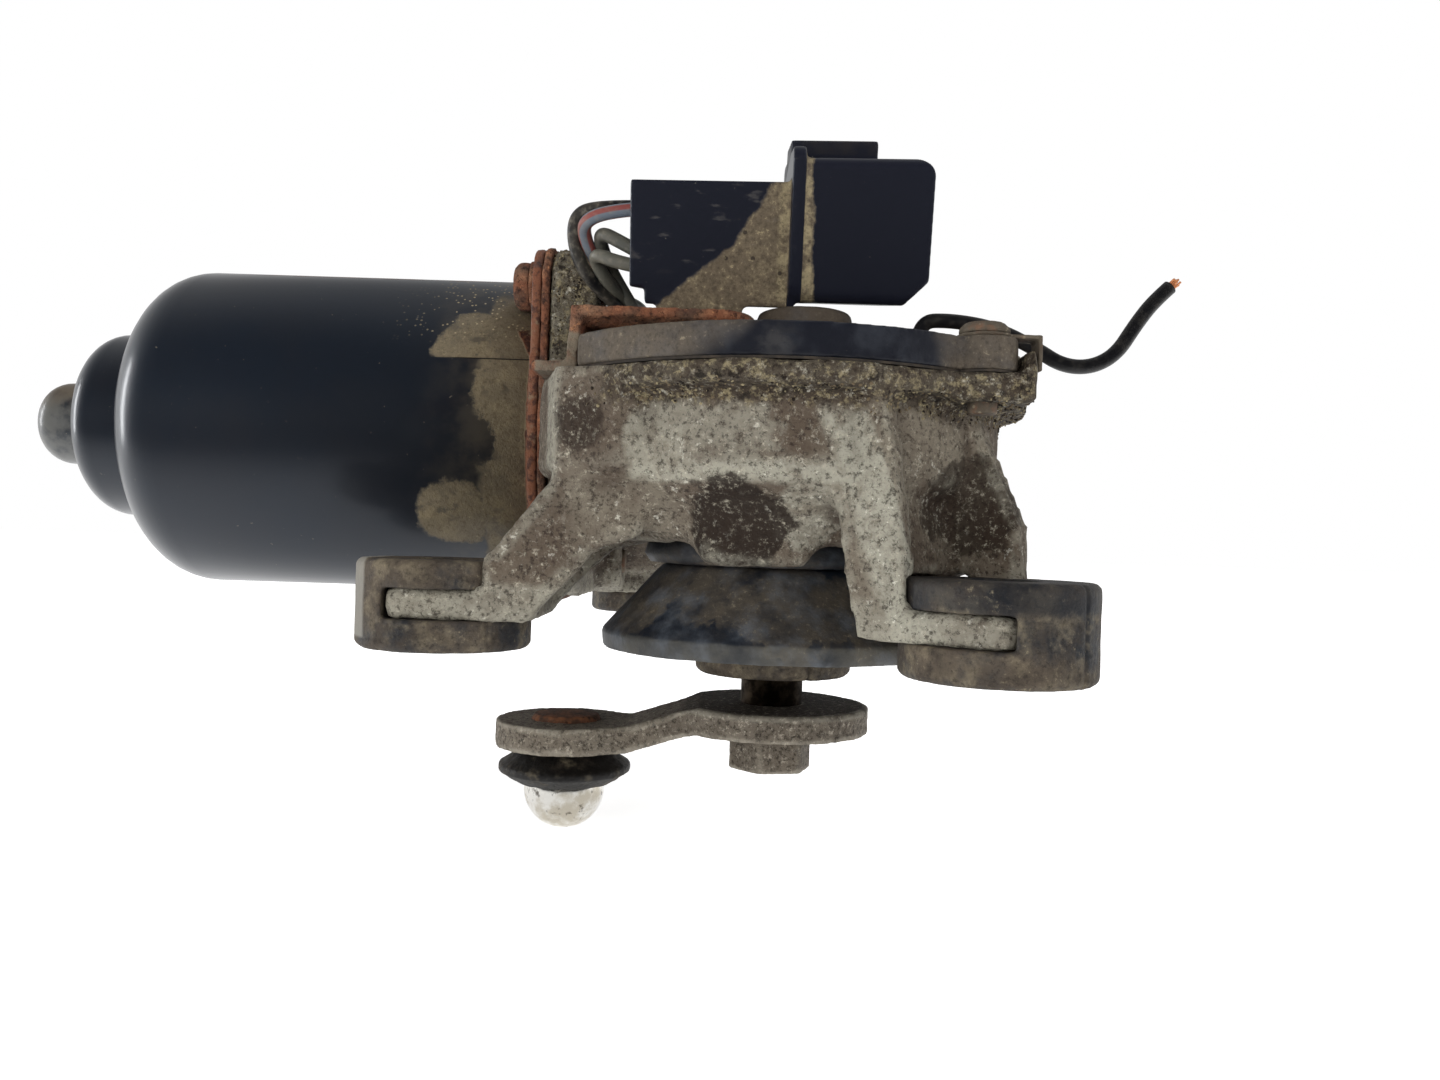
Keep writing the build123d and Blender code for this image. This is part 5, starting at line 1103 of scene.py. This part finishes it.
def strand_tree(material):
    """Geometry nodes: short copper strands in a round bundle about +Z, each leaning and cut differently."""
    tree, given = geometry_tree("Copper strands", Bundle_radius="Float", Reach="Float", Strand_radius="Float",
                                Count="Int")
    index = add(tree, "GeometryNodeInputIndex").outputs[0]
    share = add(tree, "ShaderNodeMath", {0: index, 1: given["Count"]}, operation="DIVIDE").outputs[0]
    root = add(tree, "ShaderNodeMath", {0: share}, operation="SQRT").outputs[0]
    away = chained(tree, "MULTIPLY", root, given["Bundle radius"])
    golden_angle = math.pi * (3 - math.sqrt(5))
    turn = chained(tree, "MULTIPLY", index, golden_angle)
    place = add(tree, "ShaderNodeCombineXYZ", {
        axis: chained(tree, "MULTIPLY", away, add(tree, "ShaderNodeMath", {0: turn}, operation=part).outputs[0])
        for axis, part in enumerate(("COSINE", "SINE"))
    })
    spots = add(tree, "GeometryNodePoints", {"Count": given["Count"], "Position": place.outputs[0]})
    rod = add(tree, "GeometryNodeMeshCylinder", {
        "Vertices": 7, "Side Segments": 3, "Radius": given["Strand radius"], "Depth": given["Reach"]})
    cut = add(tree, "FunctionNodeRandomValue", {2: 0.55, 3: 1.0, "Seed": 9}, data_type="FLOAT").outputs[1]
    tall = add(tree, "ShaderNodeCombineXYZ", {0: 1.0, 1: 1.0, 2: cut}).outputs[0]
    lean = add(tree, "FunctionNodeRandomValue", {0: (-0.22, -0.22, 0), 1: (0.22, 0.22, 3), "Seed": 4},
               data_type="FLOAT_VECTOR").outputs[0]
    return end_tree(tree, material, Points=spots.outputs[0], Instance=rod.outputs[0], Rotation=lean, Scale=tall)


class WIPER_OT_cut_wire(PieceOperator):
    """Cut ground wire with its bare copper end, and the bush that it comes out of"""
    bl_idname = "wiper.cut_wire"
    bl_label = "Cut wire"

    def execute(self, context):
        s = sizes()
        points = smoothed(cut_wire_route)
        bared = 1.9 * MM
        end = points[-1]
        while (points[-1] - end).length < bared:
            points.pop()
        wire = tube("ground_wire", points, s.cut_diameter / 2, 24)
        dress(wire, insulation("Vinyl insulation, black", "#0d0d10", dust=0.05), "housing", "cut_wire",
              slot="wire_black")
        copper = dull_copper()
        strands = grown("copper_strands", strand_tree(copper), bpy.data.meshes.new("copper_strands"), {
            "Bundle radius": s.cut_diameter * 0.26, "Reach": 2 * bared, "Strand radius": s.strand_diameter / 2,
            "Count": 16})
        heading = (points[-1] - points[-2]).normalized()
        turned = heading.to_track_quat("Z", "Y").to_matrix().to_4x4()
        strands.data.transform(Matrix.Translation(points[-1]) @ turned)
        strands.data.shade_smooth()
        dress(strands, copper, "housing")
        clad("ground_bush", "wire_bush", rubber("Bush rubber, moulded", 0.5).done(), 0.25 * MM)
        return {"FINISHED"}


def grit_tree(material):
    """Geometry nodes: grains of dirt stuck on a casting under its cover's lip and on its rear flange."""
    tree, given = geometry_tree("Stuck grit", Geometry="Geometry", Grain_radius="Float",
                                Grains_per_square_metre="Float")
    place = add(tree, "GeometryNodeInputPosition").outputs[0]
    split = add(tree, "ShaderNodeSeparateXYZ", {0: place}).outputs
    # The crust's zones, each between limits in millimetres: under the cover's lip, and the rear flange.
    lip = (("Z", "GREATER_THAN", 35.2), ("Z", "LESS_THAN", 38.6), ("X", "GREATER_THAN", -28))
    flange = (("Z", "GREATER_THAN", 44.5), ("X", "LESS_THAN", -24))
    zones = [
        chained(tree, "MULTIPLY", *[
            add(tree, "ShaderNodeMath", {0: split[axis], 1: limit * MM}, operation=side).outputs[0]
            for axis, side, limit in limits])
        for limits in (lip, flange)
    ]
    clump = 3.5 * MM
    clumps = add(tree, "ShaderNodeTexNoise", {"Vector": place, "Scale": 1 / clump, "Detail": 3.0}).outputs[0]
    clumps = add(tree, "ShaderNodeMapRange", {"Value": clumps, "From Min": 0.42, "From Max": 0.6}).outputs[0]
    crusted = chained(tree, "MULTIPLY", chained(tree, "MAXIMUM", *zones), clumps)
    density = chained(tree, "MULTIPLY", given["Grains per square metre"], crusted)
    spots = add(tree, "GeometryNodeDistributePointsOnFaces", {
        "Mesh": given["Geometry"], "Density": density, "Seed": 11})
    grain = add(tree, "GeometryNodeMeshIcoSphere", {"Radius": given["Grain radius"], "Subdivisions": 1})
    turn, size = [
        add(tree, "FunctionNodeRandomValue", {0: low, 1: high, "Seed": seed}, data_type="FLOAT_VECTOR").outputs[0]
        for low, high, seed in (((0, 0, 0), (6.28, 6.28, 6.28), 3), ((0.35, 0.35, 0.35), (1, 1, 1), 5))
    ]
    return end_tree(tree, material, Points=spots.outputs[0], Instance=grain.outputs[0], Rotation=turn, Scale=size)


class WIPER_OT_grit(PieceOperator):
    """Grains of dirt stuck to the casting"""
    bl_idname = "wiper.grit"
    bl_label = "Stuck dirt"

    def execute(self, context):
        dirt = caked_dirt()
        grit = grown("stuck_grit", grit_tree(dirt), bpy.data.objects["gear_casting"].data.copy(), {
            "Grain radius": sizes().grit_radius, "Grains per square metre": sizes().grit_count / MM ** 2})
        dress(grit, dirt, "housing", slot="cast_alloy")
        return {"FINISHED"}


class WIPER_OT_fasteners(PieceOperator):
    """Screws, washers and the wire's clip"""
    bl_idname = "wiper.fasteners"
    bl_label = "Fasteners"

    def execute(self, context):
        zinc = dirty_zinc()
        rust = bpy.data.materials["Mild steel, rusted"]
        for node, material, voxel in (
            ("cover_screws", zinc, 0.28), ("flange_screws", rust, 0.32), ("screw_washers", rust, 0.25),
            ("bracket_screw", rust, 0.25), ("wire_clip", zinc, 0.22),
        ):
            clad(node, f"{node}_worn", material, voxel * MM, [(1.2, 0.15)])
        return {"FINISHED"}


class WIPER_OT_inner(PieceOperator):
    """Finishes of the CAD pieces that stay as they are, inside the motor and in its bores"""
    bl_idname = "wiper.inner"
    bl_label = "Inner pieces"

    def execute(self, context):
        finishes = {
            metal("Dull shaft steel", "#463c31", 0.6, "#1c1612", 2, 0.6): ["output_shaft"],
            metal("Ground steel", "#b9b9b4", 0.32, "#7d7466", 3): [
                "armature_shaft", "drive_plate", "retaining_ring", "thrust_washers", "thrust_ball", "magnet_clips",
                "bush_retainer", "brush_springs", "foot_sleeve_left", "foot_sleeve_right", "foot_sleeve_rear",
                "thrust_plug"],
            metal("Lamination steel", "#6d6f72", 0.5, "#43382f", 2): ["lamination_stack"],
            metal("Sintered bronze", "#a5793f", 0.45, "#6b4a2a", 1.5): [
                "output_bushes", "front_bush", "rear_bush", "end_bush", "brush_holders"],
            metal("Enamelled copper", "#b8653a", 0.3, "#7a3a20", 1.2): ["windings", "choke_coils"],
            metal("Commutator copper", "#c98457", 0.25, "#5c3825", 2): [
                "commutator", "park_disc", "contact_fingers"],
            metal("Tinned brass", "#b8b1a0", 0.3, "#7d7460", 1.5): ["connector_terminals"],
            moulded("Acetal", "#d9d6c8", "#b9ad8c", 0.35): ["worm_wheel", "thrust_pad"],
            moulded("Ferrite", "#2b2a2a", "#3d3a38", 0.7, 2): ["magnets"],
            moulded("Carbon", "#1a1a1b", "#33302c", 0.6, 1): ["brushes"],
            moulded("Phenolic board", "#5b3a22", "#76502f", 0.5, 5): ["brush_card", "contact_plate"],
            moulded("Gasket fibre", "#2b2723", "#4a4035", 0.9, 2): ["cover_gasket"],
            moulded("Seal nitrile", "#17181a", "#33302c", 0.5, 2): ["shaft_seal"],
        }
        for material, nodes in finishes.items():
            for node in nodes:
                mesh = frame["nodes"][node].data
                mesh.materials.clear()
                mesh.materials.append(material)
        return {"FINISHED"}


# ---------------------------------------------------------------- stage
picture_width = 1440
focal_pixels = 1100.0
eye = Vector((-9.2, -180.0, 17.3)) * MM
camera_roll = math.radians(1.8)


class WIPER_OT_stage(PieceOperator):
    """Floor, lights, world and the camera"""
    bl_idname = "wiper.stage"
    bl_label = "Stage"

    def execute(self, context):
        scene = context.scene
        lens = bpy.data.cameras.new("camera")
        lens.sensor_fit, lens.sensor_width = "HORIZONTAL", 36.0
        lens.lens = lens.sensor_width * focal_pixels / picture_width
        lens.clip_start = 0.01
        camera = new_object("camera", lens)
        right = Vector((math.cos(camera_roll), 0, math.sin(camera_roll)))
        up = Vector((-math.sin(camera_roll), 0, math.cos(camera_roll)))
        turned = Matrix((right, up, -BACK)).transposed().to_4x4()
        camera.matrix_world = Matrix.Translation(eye) @ turned
        scene.camera = camera

        floor_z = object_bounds()[0][2] - 0.3 * MM
        half = 4.0
        mesh = bpy.data.meshes.new("floor")
        corners = [(x * half, y * half, floor_z) for x, y in ((-1, -1), (1, -1), (1, 1), (-1, 1))]
        mesh.from_pydata(corners, [], [(0, 1, 2, 3)])
        floor = new_object("floor", mesh)
        mesh.materials.append(self.floor_paper())
        floor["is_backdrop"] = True
        self.light("key", (-0.45, -0.75, -0.02), 0.8, 9.5)
        self.light("fill", (0.7, -0.5, 0.25), 0.7, 3.0)
        self.light("top", (0.1, 0.15, 0.9), 0.9, 4.0)
        self.light("side", (-1.1, 0.1, 0.0), 0.12, 5.0, height=0.9)
        self.surroundings(scene)
        scene.view_settings.view_transform = "Standard"
        return {"FINISHED"}

    def floor_paper(self):
        """White paper: flat white to the eye, shaded by what stands on it, and darker in front in mirrors."""
        material = bpy.data.materials.new("White paper")
        tree = emptied(material)
        mirrored = add(tree, "ShaderNodeLightPath").outputs["Is Glossy Ray"]
        place = add(tree, "ShaderNodeTexCoord").outputs["Object"]
        back = add(tree, "ShaderNodeSeparateXYZ", {0: place}).outputs["Y"]
        away = add(tree, "ShaderNodeVectorMath", {0: place}, operation="LENGTH").outputs["Value"]
        behind = add(tree, "ShaderNodeMapRange", {
            "Value": back, "From Min": -0.20, "From Max": 0.06, "To Min": 0.0, "To Max": 0.8},
            interpolation_type="SMOOTHSTEP").outputs[0]
        # Its own light rises to full white away from the piece.
        glow = add(tree, "ShaderNodeMapRange", {
            "Value": away, "From Min": 0.25, "From Max": 0.7, "To Min": 0.75, "To Max": 1.0}).outputs[0]
        strength = add(tree, "ShaderNodeMix", {"Factor": mirrored, 2: glow, 3: behind}).outputs[0]
        kept = add(tree, "ShaderNodeMix", {"Factor": mirrored, 2: 1.0, 3: behind}).outputs[0]
        shade = add(tree, "ShaderNodeMix", {"Factor": kept, 6: (0, 0, 0), 7: (0.9, 0.9, 0.9)}, data_type="RGBA")
        paper = add(tree, "ShaderNodeBsdfDiffuse", {"Color": shade.outputs[2]})
        light = add(tree, "ShaderNodeEmission", {"Color": (1, 1, 1), "Strength": strength})
        both = add(tree, "ShaderNodeAddShader", {0: paper.outputs[0], 1: light.outputs[0]})
        add(tree, "ShaderNodeOutputMaterial", {"Surface": both.outputs[0]})
        return material

    def light(self, name, place, size, power, height=None):
        """A soft round lamp, or a tall strip, which alone shows in glossy pieces."""
        lamp = bpy.data.lights.new(name, "AREA")
        lamp.shape, lamp.size, lamp.energy = "RECTANGLE" if height else "DISK", size, power
        lamp.size_y = height or size
        holder = new_object(name, lamp)
        holder.visible_glossy = bool(height)
        target = Vector((-0.04, 0.02, 0.02))
        holder.location = place
        holder.rotation_euler = (target - Vector(place)).to_track_quat("-Z", "Y").to_euler()

    def surroundings(self, scene):
        """White all round for the eye, dimmer as a light, and for mirrors darker behind the eye and overhead."""
        world = bpy.data.worlds.new("Studio")
        tree = emptied(world)
        rays = add(tree, "ShaderNodeLightPath").outputs
        towards = add(tree, "ShaderNodeTexCoord").outputs["Generated"]
        split = add(tree, "ShaderNodeSeparateXYZ", {0: towards}).outputs
        front, high = [
            add(tree, "ShaderNodeMapRange", {
                "Value": split[axis], "From Min": start, "From Max": end, "To Min": 1.0, "To Max": dim},
                interpolation_type="SMOOTHSTEP").outputs[0]
            for axis, start, end, dim in (("Y", 0.25, -0.55, 0.06), ("Z", 0.1, 0.8, 0.35))
        ]
        mirrored = chained(tree, "MULTIPLY", front, high)
        soft = chained(tree, "MULTIPLY", high, 0.48)
        shiny = add(tree, "ShaderNodeMix", {"Factor": rays["Is Glossy Ray"], 2: soft, 3: mirrored}).outputs[0]
        clear = chained(tree, "MAXIMUM", rays["Is Camera Ray"], rays["Is Transmission Ray"])
        strength = add(tree, "ShaderNodeMix", {"Factor": clear, 2: shiny, 3: 1.0}).outputs[0]
        sky = add(tree, "ShaderNodeBackground", {"Color": (1, 1, 1), "Strength": strength})
        add(tree, "ShaderNodeOutputWorld", {"Surface": sky.outputs[0]})
        scene.world = world


piece_steps = [
    WIPER_OT_stage, WIPER_OT_cut_wire, WIPER_OT_leads, WIPER_OT_can, WIPER_OT_casting, WIPER_OT_grit,
    WIPER_OT_cover, WIPER_OT_plates, WIPER_OT_connector, WIPER_OT_seals, WIPER_OT_feet, WIPER_OT_crank,
    WIPER_OT_fasteners, WIPER_OT_inner,
]


class WIPER_PT_panel(bpy.types.Panel):
    """Lists the sizes, the colours and the steps"""
    bl_label = "Wiper motor"
    bl_idname = "WIPER_PT_panel"
    bl_space_type = "VIEW_3D"
    bl_region_type = "UI"
    bl_category = "Wiper motor"

    def draw(self, context):
        for group in (sizes(), colours()):
            for name in group.__annotations__:
                self.layout.prop(group, name)
        for step in piece_steps:
            self.layout.operator(step.bl_idname)


registered = [WiperSizes, WiperColours, *piece_steps, WIPER_PT_panel]


def register():
    for item in registered:
        bpy.utils.register_class(item)
    bpy.types.Scene.wiper_sizes = PointerProperty(type=WiperSizes)
    bpy.types.Scene.wiper_colours = PointerProperty(type=WiperColours)


def unregister():
    del bpy.types.Scene.wiper_colours
    del bpy.types.Scene.wiper_sizes
    for item in reversed(registered):
        bpy.utils.unregister_class(item)


def main():
    register()
    for step in piece_steps:
        area, name = step.bl_idname.split(".")
        getattr(getattr(bpy.ops, area), name)()


if __name__ == "__main__":
    main()
